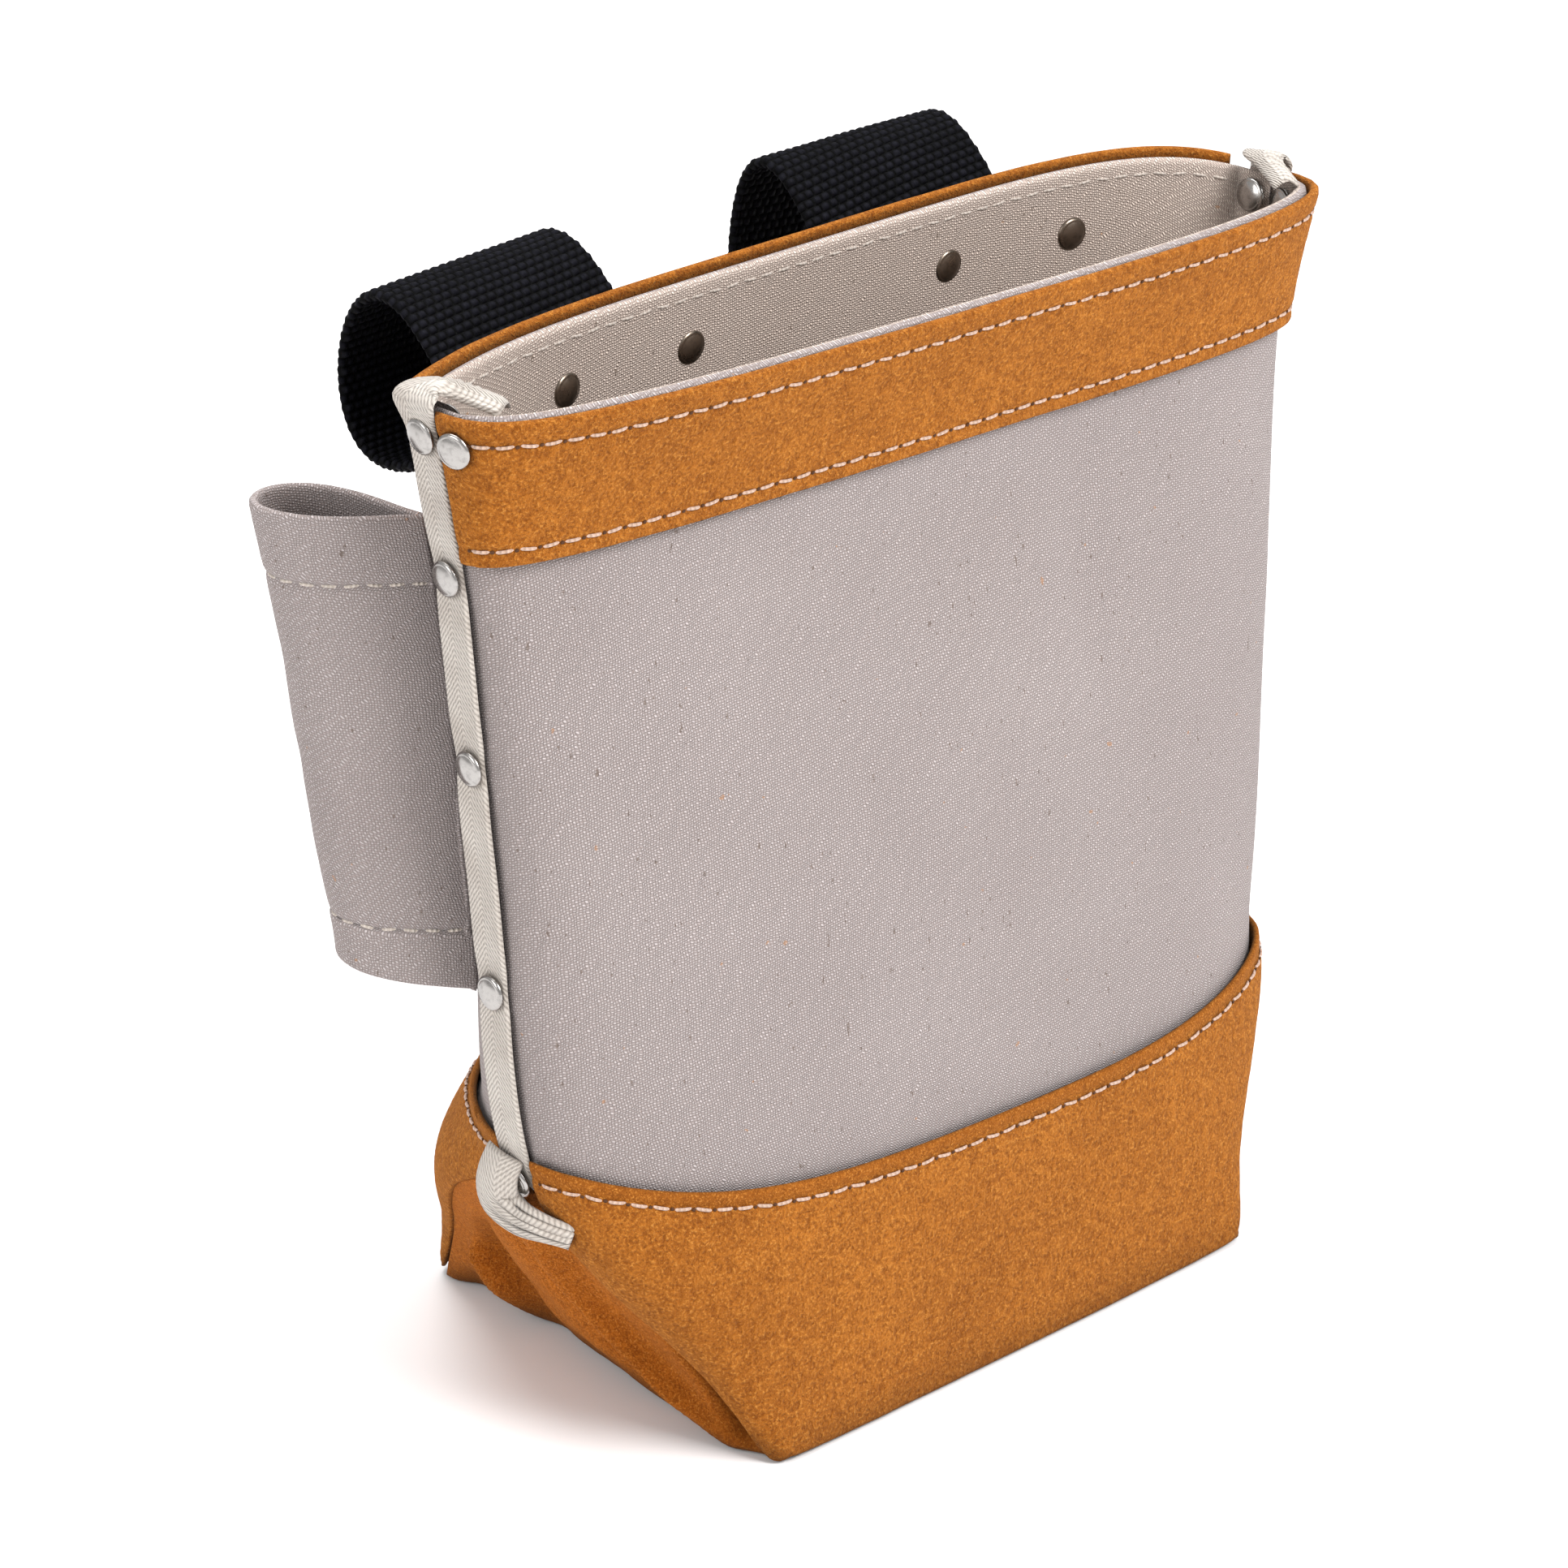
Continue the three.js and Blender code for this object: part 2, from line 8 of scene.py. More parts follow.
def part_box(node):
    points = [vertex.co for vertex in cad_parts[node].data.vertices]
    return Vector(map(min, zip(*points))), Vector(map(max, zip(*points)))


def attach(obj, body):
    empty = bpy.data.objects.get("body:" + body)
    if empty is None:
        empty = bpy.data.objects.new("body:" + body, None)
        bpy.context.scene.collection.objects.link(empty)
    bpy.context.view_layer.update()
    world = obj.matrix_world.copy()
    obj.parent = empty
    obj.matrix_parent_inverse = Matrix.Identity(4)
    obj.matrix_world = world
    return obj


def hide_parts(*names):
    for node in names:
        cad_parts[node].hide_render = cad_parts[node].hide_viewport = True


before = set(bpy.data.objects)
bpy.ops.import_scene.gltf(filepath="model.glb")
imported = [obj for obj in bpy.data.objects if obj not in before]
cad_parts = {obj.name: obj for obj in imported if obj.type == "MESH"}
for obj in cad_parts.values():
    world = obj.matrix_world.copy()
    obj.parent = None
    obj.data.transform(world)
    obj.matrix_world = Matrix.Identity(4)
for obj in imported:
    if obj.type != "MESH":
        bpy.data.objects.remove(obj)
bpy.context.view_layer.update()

# A canvas bolt bag. Shapes are worked out in millimetres and written to meshes in metres, in the
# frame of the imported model: +X right, -Y front, +Z up.
MM = 0.001

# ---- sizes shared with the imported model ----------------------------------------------
SEAM_END = 60.0  # where the side seams stop and the end gussets begin
RIM = 221.0
CANVAS = 1.6
SUEDE = 2.0
TAPE = 1.2
WEBBING = 2.2
GAP = 0.35
LAP = 8.0
RAW_EDGE = 1.2
TAPE_REACH = LAP + GAP + TAPE
CORNER = TAPE_REACH + 0.3
PLY_STEP = CANVAS + GAP
SKIN_IN = CANVAS / 2 + GAP
SKIN_OUT = SKIN_IN + SUEDE
BAND_TOP = RIM - 0.6
BACK_BAND_TOP = BAND_TOP + 1.2
BAND_DEPTH = 29.0
BAND_LOW = RIM - 1 - BAND_DEPTH
BACK_SPREAD = 3.0

SIDES = {"left": -1, "right": 1}

HALF_WIDTH = [[0, 64.5], [20, 72.5], [SEAM_END, 96], [130, 102], [187, 106], [RIM, 110.5]]
DRIFT = [[0, 0], [SEAM_END, 2.5], [130, 1.5], [RIM, 2]]
SEAM_Y = [[0, -21], [SEAM_END, -21], [130, -17.5], [RIM, -14]]
FRONT_Y = [[0, -50.8], [SEAM_END, -46.5], [130, -38], [190, -27], [RIM, -34]]
BACK_Y = [[0, 50.8], [SEAM_END, 48], [130, 33], [187, 16.5], [RIM, 11.5]]
FRONT_SQUARENESS = [[0, 4], [SEAM_END, 2.3], [130, 2.4], [RIM, 3.4]]
BACK_SQUARENESS = [[0, 4], [SEAM_END, 2.6], [RIM, 4.6]]
BACK_ROUNDNESS = [[0, 2.5], [SEAM_END, 1.4], [RIM, 1]]
BACK_RISE = 2.0
BACK_SKEW = 3.0
# How far each panel's edge has swung from the seam to the base's corner; it leaves the seam gently.
FRONT_SWING = [[0, 1], [25, 0.583], [50, 0.167], [57, 0.062], [62, 0.016], [67, 0]]
BACK_SWING = [[0, 1], [8, 0.918], [20, 0.784], [36, 0.577], [48, 0.375], [55, 0.18], [60, 0.05], [65, 0]]


def through(keys, at):
    """A smooth curve through [position, value] keys."""
    k, v = np.array(keys, float).T
    at = np.asarray(at, float)
    i = np.clip(np.searchsorted(k, at) - 1, 0, len(k) - 2)
    before, after = np.maximum(i - 1, 0), np.minimum(i + 2, len(k) - 1)
    s0 = (v[i + 1] - v[before]) / (k[i + 1] - k[before])
    s1 = (v[after] - v[i]) / (k[after] - k[i])
    span = k[i + 1] - k[i]
    t = np.clip((at - k[i]) / span, 0, 1)
    return (
        v[i] * (1 - t) ** 2 * (1 + 2 * t)
        + v[i + 1] * t**2 * (3 - 2 * t)
        + span * (s0 * t * (1 - t) ** 2 - s1 * t**2 * (1 - t))
    )


def mix(a, b, t):
    return a + (b - a) * t


def smooth(x, low, high):
    t = np.clip((x - low) / (high - low), 0, 1)
    return t * t * (3 - 2 * t)


def unit(v):
    return v / np.linalg.norm(v, axis=-1, keepdims=True)


def travelled(points):
    """Distance run along a path, at each of its points."""
    return np.concatenate([[0], np.cumsum(np.linalg.norm(np.diff(points, axis=0), axis=1))])


def at_distance(marks, run, values):
    return np.stack([np.interp(marks, run, column) for column in values.T], axis=-1)


def half_width(z):
    return through(HALF_WIDTH, z)


def middle_x(z):
    return -through(DRIFT, z)


def seam_y(z):
    return through(SEAM_Y, z)


def below_seam(z):
    return np.clip((SEAM_END - z) / SEAM_END, 0, 1)


def front_edge_y(z):
    return mix(seam_y(z), FRONT_Y[0][1], through(FRONT_SWING, z))


def back_edge_y(z):
    return mix(seam_y(z) + CORNER, BACK_Y[0][1], through(BACK_SWING, z))


def back_half_width(z):
    return half_width(z) - PLY_STEP + BACK_SPREAD * below_seam(z)


def front(u, z):
    """The front panel's middle: u from -1 to 1 across, and past that along its lap."""
    side = np.clip(u, -1, 1)
    past = np.abs(u) - np.abs(side)
    n = through(FRONT_SQUARENESS, z)
    edge = front_edge_y(z)
    bulge = np.maximum(0, 1 - np.abs(side) ** n) ** (1 / n)
    lap = past * mix(RAW_EDGE, LAP, (1 - below_seam(z)) ** 4)
    y = edge - (edge - through(FRONT_Y, z)) * bulge + lap
    return np.stack([middle_x(z) + half_width(z) * side, y, z + 0 * u], axis=-1)


def back(u, z):
    """The back panel's middle, with u as for the front."""
    side = np.clip(u, -1, 1)
    past = np.abs(u) - np.abs(side)
    edge = back_edge_y(z)
    fall = np.maximum(0, 1 - np.abs(side) ** through(BACK_SQUARENESS, z))
    bulge = fall ** (1 / through(BACK_ROUNDNESS, z))
    lift = smooth(z, 130, RIM) * (1 - side**8)
    lap = past * (CORNER - GAP) * mix(1, 0.2, below_seam(z))
    y = edge + (through(BACK_Y, z) - edge) * bulge - lap
    rise = lift * (BACK_RISE + BACK_SKEW * side)
    return np.stack([middle_x(z) + back_half_width(z) * side, y, z + rise], axis=-1)


# ---- grids and meshes ----------------------------------------------------------------
EDGE_STEPS = (0.12, 0.4, 1.0)  # a sheet's first points in from an edge, where it is rounded


def spaced(panel, level, start, end, step, edge_steps=True):
    """Values of u from start to end at even distances along a level of a panel."""
    t = np.linspace(-1, 1, 4001)
    u = np.sign(t) * (1 - (1 - np.abs(t)) ** 3.2)
    u = np.concatenate([np.linspace(-2, -1, 60)[:-1], u, np.linspace(1, 2, 60)[1:]])
    u = u[(u >= start) & (u <= end)]
    p = panel(u, np.full(len(u), float(level)))
    run = travelled(p)
    count = int(run[-1] / step)
    marks = np.linspace(0, run[-1], count + 1)
    if edge_steps:
        small = np.array(EDGE_STEPS)
        marks = np.concatenate([[0], small, marks[1:-1], run[-1] - small[::-1], [run[-1]]])
    return np.interp(marks, run, u)


def levels(low, high, step):
    """Heights from low to high with small steps at both ends, one row for each pair."""
    low, high = np.atleast_1d(low).astype(float), np.atleast_1d(high).astype(float)
    count = max(2, int(np.max(high - low) / step))
    t = np.linspace(0, 1, count + 1)[1:-1]
    body = low[:, None] + (high - low)[:, None] * t
    small = np.array(EDGE_STEPS)
    low, high = low[:, None], high[:, None]
    return np.hstack([low, low + small, body, high - small[::-1], high])


def along(points, axis):
    """Distance run along an axis of a grid of points."""
    d = np.linalg.norm(np.diff(points, axis=axis), axis=-1)
    pad = [(0, 0), (0, 0)]
    pad[axis] = (1, 0)
    return np.pad(np.cumsum(d, axis=axis), pad)


def facing(grid, outward):
    """Unit normals of a grid."""
    n = np.cross(np.gradient(grid, axis=0), np.gradient(grid, axis=1)) * outward
    return n / np.maximum(np.linalg.norm(n, axis=-1, keepdims=True), 1e-9)


def panel_normals(panel, u, z, outward, limit=2.0):
    """Unit normals of a panel, from small steps, so that its sheared grid doesn't tilt them."""
    u, z = np.broadcast_arrays(u, z)
    du = panel(np.clip(u + 1e-3, -limit, limit), z) - panel(np.clip(u - 1e-3, -limit, limit), z)
    dz = panel(u, z + 0.05) - panel(u, z - 0.05)
    return unit(np.cross(du, dz) * outward)


def rounded(distance, radius):
    """Share of the thickness left at a distance from a rounded edge."""
    d = np.clip(distance / radius, 0, 1)
    return np.maximum(np.sqrt(1 - (1 - d) ** 2), 0.1)


def new_mesh(name, verts, faces, uvs=None, slots=None):
    mesh = bpy.data.meshes.new(name)
    mesh.from_pydata((np.asarray(verts) * MM).tolist(), [], faces)
    if uvs is not None:
        layer = mesh.uv_layers.new(name="UVMap")
        index = np.zeros(len(mesh.loops), dtype=np.int32)
        mesh.loops.foreach_get("vertex_index", index)
        layer.data.foreach_set("uv", (np.asarray(uvs)[index] * MM).astype(np.float32).ravel())
    if slots is not None:
        mesh.polygons.foreach_set("material_index", np.asarray(slots, dtype=np.int32))
    mesh.polygons.foreach_set("use_smooth", [True] * len(mesh.polygons))
    mesh.update()
    piece = bpy.data.objects.new(name, mesh)
    bpy.context.collection.objects.link(piece)
    return piece


def closed_sheet(name, grid, outward, low, high, radius, n=None):
    """A sheet with two faces round a grid of middle points. low and high are the offsets of its
    faces along the normals n, and radius rounds its edges."""
    columns, rows = grid.shape[:2]
    n = facing(grid, outward) if n is None else n
    low = np.broadcast_to(low, (columns, rows))
    high = np.broadcast_to(high, (columns, rows))
    half, middle = (high - low) / 2, (high + low) / 2
    run, rise = along(grid, 0), along(grid, 1)
    keep = np.ones((columns, rows))
    for distance in (run, run[-1:] - run, rise, rise[:, -1:] - rise):
        keep = keep * rounded(distance, radius)
    outer = grid + n * (middle + half * keep)[..., None]
    inner = grid + n * (middle - half * keep)[..., None]
    verts = np.concatenate([outer.reshape(-1, 3), inner.reshape(-1, 3)])
    uv = np.stack([run, rise], axis=-1).reshape(-1, 2)
    size = columns * rows

    def at(layer, i, j):
        return layer * size + i * rows + j

    faces = []
    flip = outward < 0

    def quad(a, b, c, d):
        faces.append((d, c, b, a) if flip else (a, b, c, d))

    last, top = columns - 1, rows - 1
    for i in range(last):
        for j in range(top):
            quad(at(0, i, j), at(0, i + 1, j), at(0, i + 1, j + 1), at(0, i, j + 1))
            quad(at(1, i, j), at(1, i, j + 1), at(1, i + 1, j + 1), at(1, i + 1, j))
        quad(at(0, i, 0), at(1, i, 0), at(1, i + 1, 0), at(0, i + 1, 0))
        quad(at(0, i, top), at(0, i + 1, top), at(1, i + 1, top), at(1, i, top))
    for j in range(top):
        quad(at(0, 0, j), at(0, 0, j + 1), at(1, 0, j + 1), at(1, 0, j))
        quad(at(0, last, j), at(1, last, j), at(1, last, j + 1), at(0, last, j + 1))
    return new_mesh(name, verts, faces, np.concatenate([uv, uv]))


def ring_faces(rings, count):
    """Quads that join rings of count points each."""
    edges = [(k * count + i, k * count + (i + 1) % count) for k in range(rings - 1) for i in range(count)]
    return [(a, b, b + count, a + count) for a, b in edges]


def rough(points, size, seed):
    """Smooth noise from -1 to 1 at points, with features of the given size in millimetres."""
    flat = points.reshape(-1, 3) / size + seed * 7.3
    return np.array([noise.noise(Vector(p)) for p in flat]).reshape(points.shape[:-1])


YARN_ACROSS = 2.4  # webbing yarn spacing across and along its length
YARN_ALONG = 1.9


# ---- materials -----------------------------------------------------------------------
class Look:
    """A node material with a Principled shader."""

    def __init__(self, name, color, roughness, **sockets):
        self.material = bpy.data.materials.new(name)
        self.material.use_nodes = True
        self.tree = self.material.node_tree
        self.shader = next(n for n in self.tree.nodes if n.type == "BSDF_PRINCIPLED")
        self.set(self.shader, {"Base Color": (*color, 1), "Roughness": roughness, **sockets})

    def set(self, node, values):
        for key, value in values.items():
            if isinstance(value, bpy.types.NodeSocket):
                self.tree.links.new(value, node.inputs[key])
            else:
                node.inputs[key].default_value = value

    def node(self, kind, out=0, settings=None, **values):
        """Adds a node. Its inputs are set by name, with _ for a space, or by number as i0, i1, i2."""
        made = self.tree.nodes.new(kind)
        for key, value in (settings or {}).items():
            setattr(made, key, value)
        for key, value in values.items():
            self.set(made, {int(key[1:]) if key in ("i0", "i1", "i2") else key.replace("_", " "): value})
        return made.outputs[out]

    def math(self, operation, a, b=0.0, c=0.0):
        return self.node("ShaderNodeMath", settings={"operation": operation}, i0=a, i1=b, i2=c)

    def place(self, uv=False):
        return self.node("ShaderNodeTexCoord", out="UV" if uv else "Object")

    def stretched(self, scale):
        return self.node("ShaderNodeMapping", Vector=self.place(), Scale=scale)

    def noise(self, scale, detail=2.0, rough=0.5, at=None):
        at = at or self.place()
        return self.node("ShaderNodeTexNoise", Vector=at, Scale=scale, Detail=detail, Roughness=rough)

    def ramp(self, value, low, high, a=0.0, b=1.0):
        limits = {"From_Min": low, "From_Max": high, "To_Min": a, "To_Max": b}
        return self.node("ShaderNodeMapRange", Value=value, **limits)

    def blend(self, factor, a, b, kind="MIX"):
        made = self.tree.nodes.new("ShaderNodeMix")
        made.data_type = "RGBA"
        made.blend_type = kind
        for i, value in ((0, factor), (6, a), (7, b)):
            if isinstance(value, bpy.types.NodeSocket):
                self.tree.links.new(value, made.inputs[i])
            else:
                made.inputs[i].default_value = (*value, 1) if isinstance(value, tuple) else value
        return made.outputs[2]

    def color(self, socket):
        self.tree.links.new(socket, self.shader.inputs["Base Color"])

    def bump(self, height, distance, strength=1.0):
        made = self.node("ShaderNodeBump", Height=height, Distance=distance, Strength=strength)
        self.tree.links.new(made, self.shader.inputs["Normal"])

    def painted_crease_shade(self, body, dark, amount=0.7, reach=0.011):
        """Paints shade into a colour in creases, slits and corners, found with an ambient occlusion node.
        """
        made = self.tree.nodes.new("ShaderNodeAmbientOcclusion")
        made.samples = 8
        made.inputs["Distance"].default_value = reach
        return self.blend(self.ramp(made.outputs["AO"], 0.25, 0.95, amount, 0.0), body, dark)

    def uv_parts(self):
        made = self.tree.nodes.new("ShaderNodeSeparateXYZ")
        self.tree.links.new(self.place(True), made.inputs[0])
        return made.outputs[0], made.outputs[1]

    def wave(self, value, pitch, shift=0.0):
        """The sine of a value, with half a turn to each pitch in metres."""
        return self.math("SINE", self.math("MULTIPLY_ADD", value, math.pi / pitch, shift))


def canvas_look(name, light=(0.475, 0.425, 0.42), dark=(0.37, 0.325, 0.32), pitch=0.00058):
    sheen = {"Sheen Weight": 0.1, "Sheen Roughness": 0.5}
    look = Look(name, light, 0.92, **sheen, **{"Specular IOR Level": 0.15})
    u, v = look.uv_parts()
    bent = look.math("MULTIPLY", look.math("SUBTRACT", look.noise(420, 2.0), 0.5), pitch * 2.2)
    a = look.wave(look.math("ADD", u, bent), pitch)
    b = look.wave(look.math("SUBTRACT", v, bent), pitch * 0.9)
    crossing = look.math("MULTIPLY", a, b)
    over = look.math("MULTIPLY_ADD", look.math("SIGN", crossing), 0.32, 0.68)
    bumps = look.math("MULTIPLY", look.math("POWER", look.math("ABSOLUTE", crossing), 0.7), over)
    body = look.blend(look.ramp(look.noise(24, 4.0), 0.35, 0.7), dark, light)
    body = look.blend(0.5, body, light)
    # Painted shade in the weave's hollows and a painted highlight on its crests, both from the weave's
    # bump height.
    body = look.blend(look.ramp(bumps, 0.05, 0.7, 0.7, 0.0), body, (0.17, 0.13, 0.115))
    body = look.blend(look.ramp(bumps, 0.6, 1.0, 0.0, 0.6), body, tuple(min(1, c * 1.4) for c in light))
    slub = look.ramp(look.noise(1000, 1.0, at=look.stretched((1.0, 0.5, 0.45))), 0.735, 0.76)
    body = look.blend(look.math("MULTIPLY", slub, 0.6), body, (0.12, 0.08, 0.055))
    speck = look.ramp(look.noise(420, 1.0), 0.78, 0.80)
    body = look.blend(look.math("MULTIPLY", speck, 0.5), body, (0.45, 0.2, 0.06))
    # Painted shade: the colour darkens in creases and corners.
    look.color(look.painted_crease_shade(body, tuple(c * 0.35 for c in light), 0.5))
    height = look.math("MULTIPLY_ADD", look.noise(400, 3.0), 0.4, bumps)
    look.bump(height, 0.00035, 1.0)
    return look.material


def suede_look(name, light=(0.51, 0.172, 0.022), dark=(0.19, 0.045, 0.004), fine=1.0, rough_depth=0.0013):
    sheen = {"Sheen Weight": 0.15, "Sheen Roughness": 0.45, "Sheen Tint": (1.0, 0.66, 0.28, 1)}
    look = Look(name, light, 0.95, **sheen, **{"Specular IOR Level": 0.08})
    nap = look.noise(1500 * fine, 3.0, 0.7)
    clump = look.noise(480 * fine, 3.0, 0.6)
    cloud = look.noise(34, 3.0, 0.55)
    base = look.blend(look.ramp(cloud, 0.3, 0.72), dark, light)
    base = look.blend(0.72, base, light)
    # Painted shade in the nap's low spots and a painted highlight on its high spots, from the same noise
    # as its bump.
    shade = look.ramp(look.math("MULTIPLY_ADD", clump, 0.5, nap), 0.58, 0.86)
    base = look.blend(look.math("MULTIPLY", look.math("SUBTRACT", 1.0, shade), 0.8), base, dark)
    nap_tip_highlight = look.ramp(nap, 0.56, 0.72)
    base = look.blend(look.math("MULTIPLY", nap_tip_highlight, 0.7), base, (0.74, 0.33, 0.07))
    # Painted shade: the colour darkens in creases and corners.
    look.color(look.painted_crease_shade(base, tuple(c * 0.4 for c in dark), 0.85))
    fuzz = look.math("MULTIPLY_ADD", clump, 0.8, nap)
    look.bump(fuzz, rough_depth, 1.0)
    return look.material


def tape_look(name):
    look = Look(name, (0.72, 0.68, 0.62), 0.9, **{"Sheen Weight": 0.25, "Specular IOR Level": 0.15})
    u, v = look.uv_parts()
    fold = look.math("ABSOLUTE", look.math("SUBTRACT", u, 0.0045))
    uneven = look.math("MULTIPLY_ADD", look.noise(500, 1.0), 0.0006, v)
    slope = look.math("MULTIPLY_ADD", fold, 1.3, uneven)
    rib = look.wave(slope, 0.00115)
    yarn = look.wave(u, 0.0008)
    height = look.math("MULTIPLY_ADD", look.math("ABSOLUTE", yarn), 0.5, look.math("ABSOLUTE", rib))
    shade = look.ramp(height, 0.1, 1.2)
    body = look.blend(look.ramp(look.noise(120, 3.0), 0.3, 0.7), (0.50, 0.45, 0.40), (0.62, 0.575, 0.52))
    body = look.blend(shade, look.blend(0.55, body, (0.2, 0.16, 0.13)), body)
    # Painted shade: the colour darkens in creases and corners.
    look.color(look.painted_crease_shade(body, (0.16, 0.12, 0.09), 0.6, 0.004))
    look.bump(look.math("MULTIPLY_ADD", look.noise(1500, 3.0), 0.6, height), 0.0003, 0.9)
    return look.material


def webbing_look(name):
    look = Look(name, (0.004, 0.004, 0.006), 0.7, **{"Specular IOR Level": 0.07})
    fibre = look.noise(2600, 3.0, 0.6, look.stretched((1.0, 0.3, 0.3)))
    run, across = look.uv_parts()
    row = look.math("FLOOR", look.math("DIVIDE", run, YARN_ALONG * MM))
    shift = look.math("MULTIPLY", look.math("FRACT", look.math("MULTIPLY", row, 0.5)), math.pi)
    a = look.math("ABSOLUTE", look.wave(across, YARN_ACROSS * MM, shift))
    b = look.math("ABSOLUTE", look.wave(run, YARN_ALONG * MM))
    bump = look.math("MULTIPLY", look.math("POWER", a, 0.8), look.math("POWER", b, 0.7))
    worn = look.ramp(look.noise(200, 3.0), 0.3, 0.7)
    top = look.blend(worn, (0.0035, 0.0035, 0.0055), (0.007, 0.007, 0.011))
    # Painted shade: the colour goes nearly black in the hollows between yarn bumps.
    look.color(look.blend(look.ramp(bump, 0.25, 0.8), (0.0008, 0.0008, 0.001), top))
    look.set(look.shader, {"Roughness": look.ramp(fibre, 0.3, 0.7, 0.6, 0.85)})
    look.bump(look.math("MULTIPLY_ADD", fibre, 0.3, bump), 0.0007, 1.0)
    return look.material


def metal_look(name, color, low, high):
    look = Look(name, color, 0.25, Metallic=1.0)
    smear = look.noise(260, 4.0, 0.6)
    look.set(look.shader, {"Roughness": look.ramp(smear, 0.3, 0.7, low, high)})
    dull = tuple(c * 0.72 for c in color)
    look.color(look.blend(look.ramp(look.noise(900, 3.0), 0.5, 0.75), color, dull))
    look.bump(look.noise(500, 2.0), 0.00008, 0.5)
    return look.material


def thread_look(name, light, shade):
    look = Look(name, light, 0.8, **{"Sheen Weight": 0.2, "Specular IOR Level": 0.2})
    twist = look.wave(look.uv_parts()[0], 0.0006)
    dim = tuple(c * 0.85 for c in light)
    body = look.blend(look.ramp(look.noise(800, 2.0), 0.35, 0.65), dim, light)
    look.color(look.blend(look.ramp(twist, -1.0, 0.0, 0.5, 0.0), body, shade))
    look.bump(twist, 0.0002, 0.8)
    return look.material


def plain_look(name, color):
    look = Look(name, color, 0.95)
    look.color(look.blend(look.noise(700, 2.0), tuple(c * 0.6 for c in color), color))
    look.bump(look.noise(1200, 2.0), 0.0003, 0.6)
    return look.material


LOOKS = {
    "canvas": canvas_look("canvas_weave"),
    # The inside faces take a lighter, warmer copy of the canvas: painted light, the warm bounce light
    # inside the bag.
    "canvas_inside_painted_light": canvas_look("canvas_weave_inside_painted_light", (0.74, 0.62, 0.54), (0.60, 0.49, 0.42)),
    "suede": suede_look("suede_nap"),
    "gusset": suede_look("suede_gusset", (0.56, 0.155, 0.013), (0.20, 0.045, 0.003), 1.6, 0.0007),
    "lip": suede_look("suede_lip", (0.36, 0.115, 0.014), (0.17, 0.045, 0.005), 1.6, 0.0004),
    "tape": tape_look("twill_tape"),
    "webbing": webbing_look("webbing_yarn"),
    "nickel": metal_look("nickel_bright", (0.40, 0.385, 0.37), 0.16, 0.32),
    "antique": metal_look("nickel_dull", (0.22, 0.18, 0.145), 0.24, 0.40),
    "thread": thread_look("thread_twist", (0.62, 0.44, 0.35), (0.40, 0.24, 0.15)),
    "pale_thread": thread_look("thread_pale", (0.62, 0.55, 0.49), (0.36, 0.29, 0.24)),
    # Painted shade: a dark colour for the discs that stand in for needle holes.
    "hole": plain_look("needle_hole_painted_shade", (0.09, 0.032, 0.010)),
}


def paint(piece, second):
    """Gives faces a piece's second look where second is true."""
    piece.data.polygons.foreach_set("material_index", np.array(second, dtype=np.int32))


def finish(piece, body, look, slot, *nodes, more=()):
    for key in (look, *more):
        piece.data.materials.append(LOOKS[key])
    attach(piece, body)
    if nodes:
        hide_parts(*nodes)
    return piece


